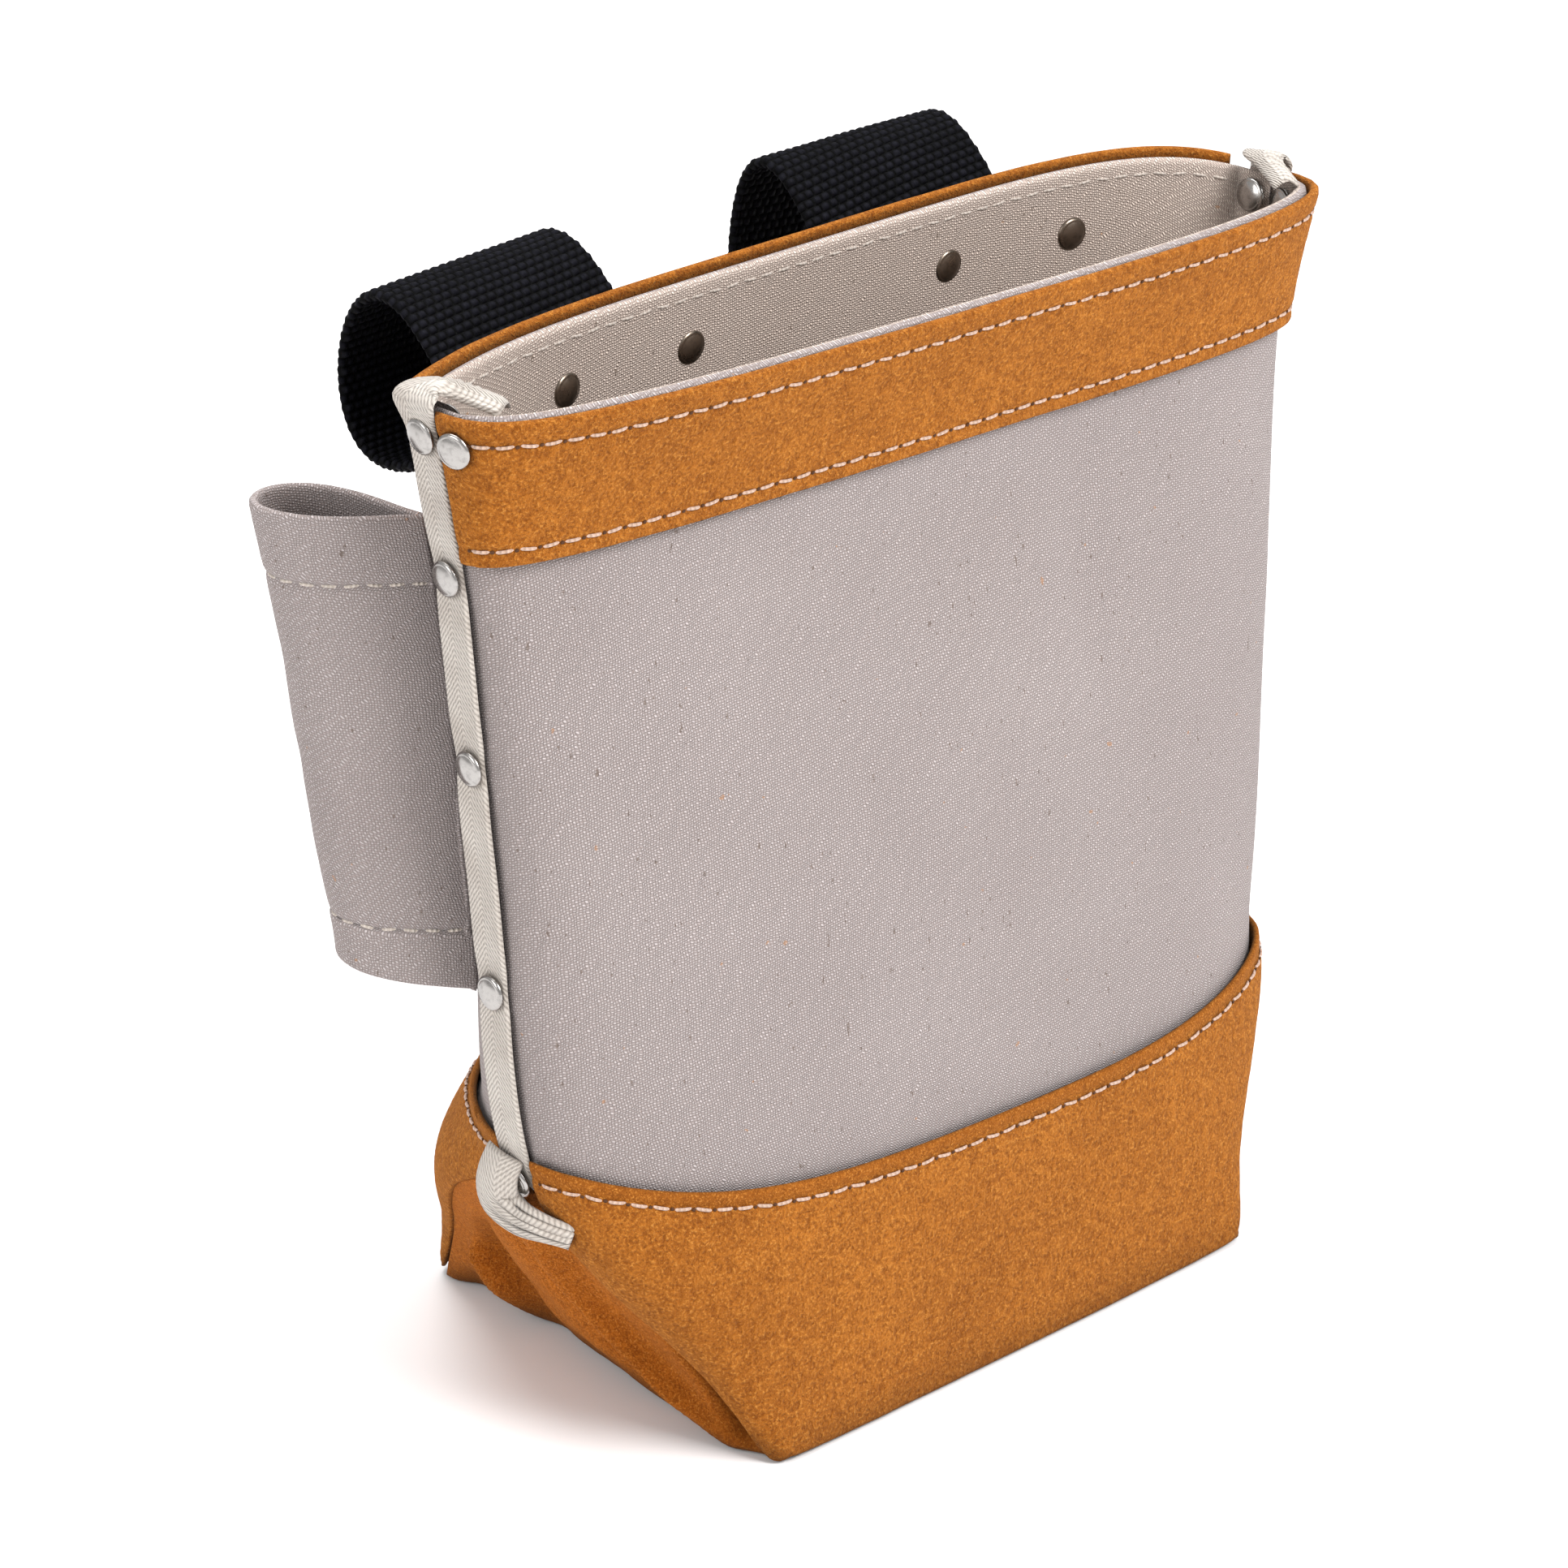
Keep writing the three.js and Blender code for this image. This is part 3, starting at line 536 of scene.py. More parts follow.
# ---- stitches ------------------------------------------------------------------------
class Stitches:
    """Rows of stitches gathered into one piece: arched thread and, at each end, a dark disc that is
    painted shade for the needle hole.
    """

    def __init__(self):
        self.verts, self.faces, self.uvs, self.slots = [], [], [], []

    def tube(self, centre, up, side, radius):
        start, sides = len(self.verts), 6
        count = len(centre)
        for k, (c, n, s) in enumerate(zip(centre, up, side)):
            r = radius * (0.45 if k in (0, count - 1) else 1.0)
            for q in range(sides):
                a = 2 * math.pi * q / sides
                self.verts.append(c + n * r * 0.8 * math.sin(a) + s * r * math.cos(a))
                self.uvs.append((k * 0.7, q / sides))
        for k in range(count - 1):
            for q in range(sides):
                a, b = start + k * sides + q, start + k * sides + (q + 1) % sides
                self.faces.append((a, b, b + sides, a + sides))
                self.slots.append(0)
        self.faces.append(tuple(start + q for q in reversed(range(sides))))
        self.faces.append(tuple(start + (count - 1) * sides + q for q in range(sides)))
        self.slots += [0, 0]

    def hole(self, c, n, s, radius):
        # A small dark bicone at the surface: painted shade where the needle hole is.
        t = np.cross(n, s)
        start, sides = len(self.verts), 7
        for q in range(sides):
            a = 2 * math.pi * q / sides
            self.verts.append(c + radius * (s * math.cos(a) + t * math.sin(a)))
            self.uvs.append((0, 0))
        self.verts += [c + n * 0.12, c - n * 0.3]
        self.uvs += [(0, 0), (0, 0)]
        for q in range(sides):
            a, b = start + q, start + (q + 1) % sides
            self.faces += [(a, b, start + sides), (b, a, start + sides + 1)]
            self.slots += [1, 1]

    def row(self, points, normals, pitch=4.5, length=3.7, radius=0.36, lift=0.05, hole=0.34, wobble=0.22):
        run = travelled(points)
        count = max(1, int((run[-1] - length) / pitch))
        offset = (run[-1] - count * pitch - length) / 2
        for k in range(count + 1):
            s = offset + k * pitch + np.linspace(0, length, 7)
            c, n = at_distance(s, run, points), unit(at_distance(s, run, normals))
            side = np.cross(n, unit(np.gradient(c, axis=0)))
            arch = np.sin(np.linspace(0, math.pi, 7)) ** 0.6
            sway = wobble * math.sin(k * 2.4) * np.linspace(-1, 1, 7)
            c = c + n * (lift + arch * 0.42 - 0.42)[:, None] + side * sway[:, None]
            self.tube(c, n, side, radius)
            if hole:
                for e, shift in ((0, -0.3), (-1, 0.3)):
                    centre = at_distance(s[e] + shift, run, points)
                    self.hole(centre + n[e] * 0.02, n[e], side[e], hole)

    def piece(self, name, body, look="thread"):
        made = new_mesh(name, np.array(self.verts), self.faces, np.array(self.uvs), self.slots)
        return finish(made, body, look, "canvas", more=("hole",))


def on_panel(panel, u, z, outward, offset):
    """Points and normals at an offset from a panel, along a path of u and z."""
    n = panel_normals(panel, u, z, outward, limit=1.0)
    return panel(u, z) + n * np.reshape(offset, (-1, 1)), n


# ---- canvas panels -------------------------------------------------------------------
HEM = 25.0  # depth of the hem turned in at the rim
HEM_PLY = 1.3  # how much thicker the hem makes the canvas, on the inside
PANEL_START = SUEDE + GAP + CANVAS + 3 * GAP


def sag(grid, outward):
    """Soft dents in the canvas, none at the rim, the seams and the suede."""
    x, z = grid[..., 0], grid[..., 2]
    side = np.abs(x - middle_x(z)) / half_width(z)
    calm = smooth(z, 55, 90) * (1 - smooth(z, 178, 195)) * (1 - smooth(side, 0.8, 0.97))
    dents = rough(grid, 55, 3 + outward) * 1.8 + rough(grid, 22, 9) * 0.45
    # a faint fold that runs down from the band
    fold = -0.9 * np.exp(-(((x - 38 + (190 - z) * 0.12) / 5.5) ** 2)) * smooth(z, 100, 165)
    push = calm * (dents + fold)
    # the sleeve lies against the back panel here when it is pushed over
    beside_sleeve = (1 - smooth(x, -62, -42)) * (outward < 0)
    return push - beside_sleeve * np.maximum(push + 0.5 * calm, 0)


def canvas_panel(name, panel, outward, node):
    u = spaced(panel, 170, -2, 2, 3.2, edge_steps=False)
    step = levels(PANEL_START, RIM - 1.0, 3.2)[0]
    step = np.sort(np.concatenate([step, RIM - HEM + np.array([-0.6, 0.6, 1.4])]))
    z = np.tile(step, (len(u), 1))
    grid = panel(u[:, None], z)
    n = panel_normals(panel, u[:, None], z, outward)
    push = sag(grid, outward)
    grid = grid + n * push[..., None]
    hem = smooth(z, RIM - HEM - 0.4, RIM - HEM + 0.8) * HEM_PLY * (np.abs(u)[:, None] < 0.985)
    piece = closed_sheet(name, grid, outward, -CANVAS / 2 - hem, CANVAS / 2, 1.3, n=n)
    finish(piece, "bag", "canvas", "canvas", node, more=("canvas_inside_painted_light",))
    size = grid.shape[0] * grid.shape[1]
    # The inner faces get the lighter, warmer canvas copy, which is painted light.
    paint(piece, [min(p.vertices) >= size for p in piece.data.polygons])


canvas_panel("canvas_front", front, 1, "front_canvas_panel")
canvas_panel("canvas_back", back, -1, "back_canvas_panel")


# ---- suede bands and lower suede -----------------------------------------------------
def suede_top(u):
    """Height of the lower suede's top edge."""
    side = np.clip(u, -1, 1)
    return 54 - 2.5 * side + (10 - 2 * side) * np.abs(side) ** 4


def ripple(points, seed):
    """How far a suede piece waves off its panel."""
    return rough(points, 38, seed + 2) * 0.35


def groove(distance, width=0.9, depth=0.35):
    """How far thread pulls a sheet in, at a distance from its row."""
    return -depth * np.exp(-((distance / width) ** 2))


def row_line(z, row):
    """Heights of a stitch row, down from a piece's top edge or, if negative, up from its lower one."""
    return (z[:, -1] - row if row > 0 else z[:, 0] - row)[:, None]


def suede_sheet(name, panel, outward, u, low_z, high_z, rows, node, seed, inner=SKIN_IN, lip=0.0):
    """A suede piece on a panel, sewn along rows. lip is the depth of the smooth, darker strip along
    its top edge."""
    z = levels(low_z, high_z, 1.6)
    if len(z) == 1:
        z = np.repeat(z, len(u), axis=0)
    z = np.sort(np.hstack([z, *[row_line(z, row) + [-1.4, -0.6, 0, 0.6, 1.4] for row in rows]]), axis=1)
    grid = panel(u[:, None], z)
    high = np.full(z.shape, inner + SUEDE)
    for row in rows:
        high = high + groove(z - row_line(z, row))
    if lip:
        high = high - 0.5 * smooth(z - (z[:, -1:] - lip), -0.7, 0.3)
    high = high + rough(grid, 9, seed) * 0.12 + rough(grid, 2.6, seed + 1) * 0.07
    low = np.full(z.shape, inner)
    wave = ripple(grid, seed)
    n = panel_normals(panel, u[:, None], z, outward, limit=1.0)
    piece = closed_sheet(name, grid, outward, low + wave, high + wave, 0.85, n=n)
    finish(piece, "bag", "suede", "suede", node, more=("lip",) if lip else ())
    if lip:
        lip_rows = np.flatnonzero(np.mean(z[:, -1:] - z, axis=0) < lip)
        first = np.min(np.array([p.vertices[:] for p in piece.data.polygons]) % z.shape[1], axis=1)
        paint(piece, np.isin(first, lip_rows))


BAND_ROWS = (4.6, -3.4)
BAND_LEVEL = 205  # where points are spaced along a band, and between its two rows
FOOT_ROW = 3.6
FOOT_START = 0.3
ROW_END = 0.9997  # a row's last stitch stops just short of the panel's edge
SUNK = 0.2  # how deep thread lies in suede


def bands():
    for name, panel, outward, reach, top, node, seed in (
        ("band_front", front, 1, 1, BAND_TOP, "front_top_band", 11),
        ("band_back", back, -1, 0.992, BACK_BAND_TOP, "back_top_band", 21),
    ):
        u = spaced(panel, BAND_LEVEL, -reach, reach, 2.2)
        suede_sheet(name, panel, outward, u, BAND_LOW, top, BAND_ROWS, node, seed)


def feet():
    for word, panel, outward, level, seed in (("front", front, 1, 58, 31), ("back", back, -1, 60, 41)):
        u = spaced(panel, level, -1, 1, 1.6)
        suede_sheet(
            word + "_suede_foot", panel, outward, u, np.full(len(u), FOOT_START), suede_top(u),
            (FOOT_ROW,), word + "_lower_suede", seed, inner=SKIN_IN + GAP, lip=3.0,
        )


def panel_stitches():
    seams, inner_seams = Stitches(), Stitches()

    def outside(panel, u, z, outward, offset, seed):
        offset = offset - SUNK + ripple(panel(u, z), seed)
        seams.row(*on_panel(panel, u, z, outward, offset))

    for panel, outward, top, band_seed, foot_seed in (
        (front, 1, BAND_TOP, 11, 31),
        (back, -1, BACK_BAND_TOP, 21, 41),
    ):
        u = spaced(panel, BAND_LEVEL, -ROW_END, ROW_END, 0.8, edge_steps=False)
        for z in (top - BAND_ROWS[0], BAND_LOW - BAND_ROWS[1]):
            level = np.full(len(u), z)
            upper = z > BAND_LEVEL
            run = slice(3, -3) if upper else slice(None)
            outside(panel, u[run], level[run], outward, SKIN_OUT, band_seed)
            depth = CANVAS / 2 + (HEM_PLY if upper else 0.0) + 0.05
            inside, n = on_panel(panel, u, level, outward, -depth)
            inner_seams.row(inside, -n, hole=0, radius=0.3)
        u = spaced(panel, SEAM_END, -ROW_END, ROW_END, 0.8, edge_steps=False)
        outside(panel, u, suede_top(u) - FOOT_ROW, outward, SKIN_OUT + GAP, foot_seed)
    seams.piece("panel_stitches", "bag")
    inner_seams.piece("inner_stitches", "bag", "pale_thread")


bands()
feet()
panel_stitches()


# ---- base and end gussets ------------------------------------------------------------
SOLE_INSET = (8.0, 4.0, 0.0)  # how far the sole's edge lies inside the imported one's
SOLE_CORNER = 7.0
SOLE_POINTS = 160
# Rings of the sole from the middle of its underside to the middle of its top, as a share of its
# outline and a height.
SOLE_RINGS = ((0.5, 0.1), (0.93, 0.0), (0.975, 0.25), (1.0, 1.0), (0.985, 1.8), (0.95, 2.1), (0.5, 2.1))
SOLE_MIDDLES = (0.15, 2.1)


def sole():
    """The suede sole, with round corners and edges that turn up a little."""
    lo, hi = (np.array(v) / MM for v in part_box("base_suede"))
    centre, half = (lo + hi) / 2, (hi - lo) / 2 - SOLE_INSET
    outline = []
    for k, (sx, sy) in enumerate(((1, -1), (1, 1), (-1, 1), (-1, -1))):
        for a in np.linspace(0, math.pi / 2, 9):
            turn = a + (k - 1) * math.pi / 2
            x = sx * (half[0] - SOLE_CORNER) + SOLE_CORNER * math.cos(turn)
            y = sy * (half[1] - SOLE_CORNER) + SOLE_CORNER * math.sin(turn)
            outline.append((x, y))
    outline = np.array(outline)
    closed = np.vstack([outline, outline[:1]])
    run = travelled(closed)
    outline = at_distance(np.linspace(0, run[-1], SOLE_POINTS + 1)[:-1], run, closed)
    count = len(outline)
    verts, faces, uvs = [], ring_faces(len(SOLE_RINGS), count), []
    for share, z in SOLE_RINGS:
        for x, y in outline:
            verts.append((centre[0] + x * share, centre[1] + y * share, lo[2] + z))
            uvs.append((x * share, y * share))
    last = len(SOLE_RINGS) - 1
    for ring, z, order in ((0, SOLE_MIDDLES[0], -1), (last, SOLE_MIDDLES[1], 1)):
        centre_index = len(verts)
        verts.append((centre[0], centre[1], lo[2] + z))
        uvs.append((0, 0))
        for i in range(count):
            a, b = ring * count + i, ring * count + (i + 1) % count
            faces.append((centre_index, a, b) if order > 0 else (centre_index, b, a))
    finish(new_mesh("sole_suede", verts, faces, uvs), "bag", "suede", "suede", "base_suede")


sole()

GUSSET_X = [[0, 68.0], [8, 70.6], [20, 75.0], [SEAM_END, 95.5]]
GUSSET_FOOT = [[0, 67.5], [0.08, 70.5], [0.28, 69.0], [0.5, 66.6], [0.76, 65.0], [0.9, 66.2], [1, 69.0]]
FOLD_FRONT = [[0, 0.08], [8, 0.16], [22, 0.29], [36, 0.37], [SEAM_END, 0.45]]
FOLD_BACK = [[0, 0.72], [8, 0.77], [14, 0.83], [22, 0.93], [SEAM_END, 1.2]]
# Creases beside a fold line: height, distance behind the line, width, and the sway it takes.
FRONT_CREASES = ((5.7, 0, 3.9, 1), (-3.9, 9, 4.8, 1), (1.8, 22, 8.0, -1))
BACK_CREASES = ((4.2, 0, 3.6, -1), (-3.6, -8, 4.6, 0))
SLIT_DEPTH, SLIT_PLACE, SLIT_WIDTH = 10.0, 2.6, 2.5


def gusset(side, word):
    """Suede end gusset: a triangle between the panels' edges, creased into folds that run down
    from the seam's end, with a deep slit beside the front panel's raw edge."""
    share = np.linspace(0, 1, 121)
    z = levels(0.3, SEAM_END - 1, 1.2)[0]
    S, Z = np.meshgrid(share, z, indexing="ij")
    low = front_edge_y(Z) + 0.6
    high = np.maximum(back_edge_y(Z) - 0.4, low + 2.5)
    long = high - low
    calm = smooth(long, 4, 26)
    run = S * long
    front_fold = (S - through(FOLD_FRONT, Z)) * long
    back_fold = (S - through(FOLD_BACK, Z)) * long
    sway = rough(np.stack([S * 60, Z, 0 * Z], axis=-1), 24, 55) * 1.3
    push = -SLIT_DEPTH * np.exp(-(((run - SLIT_PLACE) / SLIT_WIDTH) ** 2)) * smooth(Z, -2, 12)
    for line, creases in ((front_fold, FRONT_CREASES), (back_fold, BACK_CREASES)):
        for height, behind, width, swayed in creases:
            push = push + height * np.exp(-(((line - behind + swayed * sway) / width) ** 2))
    x = through(GUSSET_X, Z) + 1.5 * np.sin(np.pi * S) ** 0.7 + push * calm
    x = mix(through(GUSSET_FOOT, S), x, smooth(Z, -4, 11))
    x = x - 1.8 * (1 - smooth(Z, -2.0, 3.0))
    # Over the back panel's lap it lies flat against it.
    lap = (CORNER - GAP) * mix(1, 0.2, below_seam(Z)) + 0.5
    over_lap = half_width(Z) + 1.4 + BACK_SPREAD * below_seam(Z)
    x = mix(over_lap, x, smooth((1 - S) * long, lap, lap + 7))
    grid = np.stack([middle_x(Z) + side * x, mix(low, high, S), Z], axis=-1)
    high_off = rough(grid, 8, 51) * 0.2 + rough(grid, 2.6, 52) * 0.06
    piece = closed_sheet(word + "_gusset_folds", grid, side, -SUEDE, high_off, 0.9)
    finish(piece, "bag", "gusset", "suede", word + "_gusset_suede")
    # The lining hangs a little looser, in softer folds.
    reach = 6
    soft = np.pad(grid[:, 4:], ((reach, reach), (0, 0), (0, 0)), mode="edge")
    soft = sum(soft[k:k + len(grid)] for k in range(2 * reach + 1)) / (2 * reach + 1)
    soft[..., 0] -= side * 2.2
    low = -SUEDE - GAP - CANVAS
    lining = closed_sheet(word + "_gusset_lining", soft, side, low, low + CANVAS, 0.8)
    finish(lining, "bag", "canvas_inside_painted_light", "canvas", word + "_gusset_canvas")


for word, side in SIDES.items():
    gusset(side, word)


def inner_floor():
    lo, hi = (np.array(v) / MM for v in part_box("base_canvas"))
    X, Y = np.meshgrid(np.linspace(lo[0], hi[0], 46), np.linspace(lo[1], hi[1], 36), indexing="ij")
    grid = np.stack([X, Y, np.full(X.shape, (lo[2] + hi[2]) / 2)], axis=-1)
    grid[..., 2] += rough(grid, 30, 61) * 0.5 + 0.5
    piece = closed_sheet("floor_canvas", grid, 1, -CANVAS / 2, CANVAS / 2, 0.8)
    finish(piece, "bag", "canvas_inside_painted_light", "canvas", "base_canvas")


inner_floor()


# ---- seam tape -----------------------------------------------------------------------
def curve(keys, step):
    """A smooth path through key points, Catmull-Rom, at even steps."""
    keys = np.array(keys, float)
    full = np.vstack([2 * keys[0] - keys[1], keys, 2 * keys[-1] - keys[-2]])
    out = []
    for i in range(1, len(full) - 2):
        p0, p1, p2, p3 = full[i - 1 : i + 3]
        for t in np.linspace(0, 1, 12, endpoint=False):
            square = (2 * p0 - 5 * p1 + 4 * p2 - p3) * t**2
            out.append(0.5 * (2 * p1 + (p2 - p0) * t + square + (3 * p1 - p0 - 3 * p2 + p3) * t**3))
    out = np.array([*out, keys[-1]])
    run = travelled(out)
    return at_distance(np.linspace(0, run[-1], max(2, int(run[-1] / step)) + 1), run, out)


def across_path(path, across, width, t):
    """A grid of points t of a width to the side of each point of a path."""
    return path[:, None] + across[:, None] * (width[:, None] * t)[..., None]


RIVET_LEVELS = np.array([215, 187, 149, 103, SEAM_END + 3])
TAPE_WIDTH = 8.9
ROLL_WIDTH = 5.4  # of the end that is rolled and tucked into the bag
# The way of that end from the top of the seam: outwards, forwards and up.
TAPE_END = (
    (0.9, 0.4, 1.8), (-0.9, 1.6, 2.3), (-2.6, 3.8, 2.1), (-4.0, 6.4, 1.4),
    (-5.2, 9.0, 0.8), (-6.2, 11.4, 0.2), (-7.2, 13.4, -0.6),
)


def seam_tape(side, word):
    """Tape over the edge of a side seam, drawn in at its rivets, with its end rolled at the rim."""
    middle = (GAP + TAPE_REACH) / 2
    keys = []

    def wall(z, out, y_shift=0.0):
        return [middle_x(z) + side * (half_width(z) + out), seam_y(z) + middle + y_shift, z]

    lie = CANVAS / 2 + GAP + TAPE / 2
    for z in np.linspace(SEAM_END + 1, RIM - 12, 40):
        near = np.min(np.abs(z - RIVET_LEVELS))
        puff = 0.45 * (1 - math.exp(-((near / 7) ** 2)))
        keys.append(wall(z, lie + puff, 0.35 * math.sin(z / 17.0)))
    keys += [wall(RIM - 6, lie + 0.4), wall(RIM - 2.4, lie + 1.0), wall(RIM + 0.4, lie + 1.2)]
    top = np.array([middle_x(RIM) + side * half_width(RIM), seam_y(RIM) + middle, RIM])
    keys += [top + [side * out, -forwards, rise] for out, forwards, rise in TAPE_END]
    path = curve(keys, 0.9)
    z = path[:, 2]
    near = np.min(np.abs(z[:, None] - RIVET_LEVELS), axis=1)
    width = TAPE_WIDTH - 0.9 * np.exp(-((near / 4.0) ** 2)) + 1.2 * smooth(z, RIM - 14, RIM)
    run = travelled(path)
    over = smooth(run, run[-1] - 17, run[-1] - 9)
    width = mix(width + 1.6 * np.exp(-(((z - RIM) / 3.0) ** 2)), ROLL_WIDTH, over)
    t = np.linspace(-0.5, 0.5, 17)
    ahead = unit(np.gradient(path, axis=0))
    across = np.zeros_like(path)
    across[:, 1] = side
    flat = np.cross(ahead, [0, 0, side])
    flat = flat * np.where(flat @ np.array([0, side, 0]) < 0, -1, 1)[:, None]
    across = unit(mix(across, flat, smooth(run, run[-1] - 20, run[-1] - 12)[:, None]))
    grid = across_path(path, across, width, t)
    # The turned-in end is rolled: its middle stands up and its edges curl under.
    roll = over[:, None] * 2.0 * (np.cos(t * math.pi)[None] - 0.35)
    crown = 0.25 * np.cos(t * math.pi)[None] * (1 - over[:, None])
    n = facing(grid, 1)
    if np.sum(n[: len(path) // 2, 8, 0]) * side < 0:
        n = -n
    grid = grid + n * (roll + crown)[..., None]
    ribs = 0.22 * np.sin(run * 2 * math.pi / 1.7)[:, None] * over[:, None] * np.ones(len(t))
    sign = 1 if np.sum(facing(grid, 1)[: len(path) // 2, 8, 0]) * side > 0 else -1
    piece = closed_sheet(word + "_seam_tape", grid, sign, -TAPE / 2, TAPE / 2 + ribs, 0.6)
    piece_uv_swap(piece)
    finish(piece, "bag", "tape", "tape", word + "_binding_tape")


def piece_uv_swap(piece):
    """Puts the width of a strip on u and its length on v."""
    data = piece.data.uv_layers[0].data
    uv = np.zeros(len(data) * 2, dtype=np.float32)
    data.foreach_get("uv", uv)
    data.foreach_set("uv", uv.reshape(-1, 2)[:, ::-1].ravel())


for word, side in SIDES.items():
    seam_tape(side, word)


TAIL_WIDTHS = (9.4, 5.2)  # at its start and its end


def tape_tail(side, word):
    """The tape's lower end, knotted over and tucked under the front suede's raw edge."""
    z0 = SEAM_END + 7  # where the tail starts, under the tape
    x0 = middle_x(z0) + side * half_width(z0)
    y0 = float(seam_y(z0)) + 5.0
    out_by = 1.0 if side < 0 else 0.55
    keys = [
        [x0 + side * 3.0 * out_by, y0 + 1.0, z0 + 1.0],
        [x0 + side * 4.6 * out_by, y0 + 1.6, z0 - 3.4],
        [x0 + side * 4.6 * out_by, y0 + 1.4, z0 - 8.4],
        [x0 + side * 4.0 * out_by, y0 - 3.0, z0 - 11.0],
        [x0 + side * 3.0 * out_by, y0 - 8.6, z0 - 11.6],
        [x0 - side * 1.2, y0 - 13.2, z0 - 13.6],
    ]
    path = curve(keys, 0.7)
    ahead = unit(np.gradient(path, axis=0))
    out = np.array([side, -0.15, 0.25])
    across = unit(np.cross(ahead, out))
    s = np.linspace(0, 1, len(path))
    width = mix(*TAIL_WIDTHS, smooth(s, 0.2, 0.95)) + 1.2 * np.exp(-(((s - 0.3) / 0.12) ** 2))
    t = np.linspace(-0.5, 0.5, 17)
    grid = across_path(path, across, width, t)
    normal = np.cross(across, ahead)
    normal *= np.sign(np.sum(normal * out, axis=1))[:, None]
    crown = np.cos(t * math.pi)[None] * (0.9 + 0.8 * np.exp(-(((s[:, None] - 0.3) / 0.2) ** 2)))
    pleat = 0.28 * np.sin(t * 9 * math.pi)[None] * smooth(s, 0.25, 0.5)[:, None]
    grid = grid + normal[:, None] * (crown + pleat)[..., None]
    sign = 1 if np.sum(facing(grid, 1)[:, 8] * out) > 0 else -1
    piece = closed_sheet(word + "_tape_tail", grid, sign, -TAPE * 0.6, TAPE * 0.6, 0.6)
    piece_uv_swap(piece)
    finish(piece, "bag", "tape", "tape")


for word, side in SIDES.items():
    tape_tail(side, word)


# ---- belt loops ----------------------------------------------------------------------
LOOP_WIDTH = 50.8
NECK_Z = 195.5
TAB_IN = SKIN_OUT + 2.5 * GAP
TAB_OUT = TAB_IN + 2 * WEBBING
TAB_TOP = 214.0
# Each loop's middle, its lengths at its left and right edges, its height and its tilt.
LOOPS = (("left", -53.5, (44, 46), 36.0, 12.0), ("right", 48.0, (38, 44), 58.0, -1.0))
LOOP_LENGTH = 40  # of the outline that is stretched to those lengths


def back_at(x, z):
    return back((x - middle_x(z)) / back_half_width(z), z)


def yarn(run, across):
    """Relief of coarse webbing: yarn bumps in a brick pattern."""
    row = np.floor(run / YARN_ALONG)
    shifted = across / YARN_ACROSS + 0.5 * (row % 2)
    bump = np.abs(np.sin(np.pi * shifted)) ** 0.7 * np.abs(np.sin(np.pi * run / YARN_ALONG)) ** 0.6
    return 0.6 * bump - 0.45


def teardrop(length, height, start, turn):
    """An outline pointed at one end: distance out from the neck, and to the side of that."""
    along_axis = start + (length / 2) * (1 - np.cos(turn))
    half = 0.69 * height * np.sin(turn) * np.sin(turn / 2) ** 1.3
    return along_axis, -half


def belt_loop(word, middle, lengths, height, tilt):
    w = np.linspace(0, 1, 75)
    outline = (LOOP_LENGTH - 2.0, height - WEBBING, 1.2)
    # Even steps along the loop.
    turn = np.linspace(0.02, 2 * math.pi - 0.02, 1500)
    a, b = teardrop(*outline, turn)
    run = travelled(np.stack([a * 1.15, b], axis=-1))
    turn = np.interp(np.linspace(0, run[-1], 260), run, turn)
    a, b = teardrop(*outline, turn)
    lean = math.radians(tilt)
    left, right = middle - LOOP_WIDTH / 2, middle + LOOP_WIDTH / 2
    grid = np.zeros((len(turn), len(w), 3))
    for k, share in enumerate(w):
        x = middle + LOOP_WIDTH * (share - 0.5)
        length = mix(*lengths, share) / LOOP_LENGTH
        foot = mix(back_at(left, NECK_Z), back_at(right, NECK_Z), share)
        along_axis = a * length
        y = along_axis * math.cos(lean) - b * math.sin(lean)
        z = along_axis * math.sin(lean) + b * math.cos(lean)
        y = foot[1] + TAB_OUT + 2 * GAP + y
        grid[:, k] = np.stack([np.full(len(turn), x), y, foot[2] + z], axis=-1)
    grid[..., 2] += rough(grid, 40, 71) * 0.5
    run = along(grid, 0)
    across = np.broadcast_to(w * LOOP_WIDTH, run.shape)
    relief = yarn(run, across)
    sign = 1 if facing(grid, 1)[130, 37, 1] > 0 else -1
    half = WEBBING / 2
    piece = closed_sheet("loop_webbing_" + word, grid, sign, -half - relief, half + relief, 0.9)
    finish(piece, word + "_loop", "webbing", "webbing", "belt_loop_" + word)

    u = np.linspace(right, left, 100)
    z = levels(NECK_Z + 2.5, TAB_TOP, 0.55)[0]
    U, Z = np.meshgrid(u, z, indexing="ij")
    tab = back_at(U, Z)
    run = along(tab, 0)
    relief = yarn(along(tab, 1), run)
    sign = 1 if facing(tab, 1)[50, 10, 1] > 0 else -1
    piece = closed_sheet("loop_tab_" + word, tab, sign, TAB_IN, TAB_OUT - 0.1 + relief, 1.2)
    finish(piece, "bag", "webbing", "webbing", "belt_loop_tab_" + word)


for loop in LOOPS:
    belt_loop(*loop)


# ---- bull-pin sleeve -----------------------------------------------------------------
SLEEVE_LOW, SLEEVE_TOP = 97.0, 194.0
SLEEVE_TAPER = 0.85
SLEEVE_LENGTH, SLEEVE_OPENING = 34.0, 17.0
SLEEVE_HEADING = math.radians(125)
SLEEVE_INSET, SLEEVE_BEHIND = 4.0, 16.0
SLEEVE_HEM = 13.5


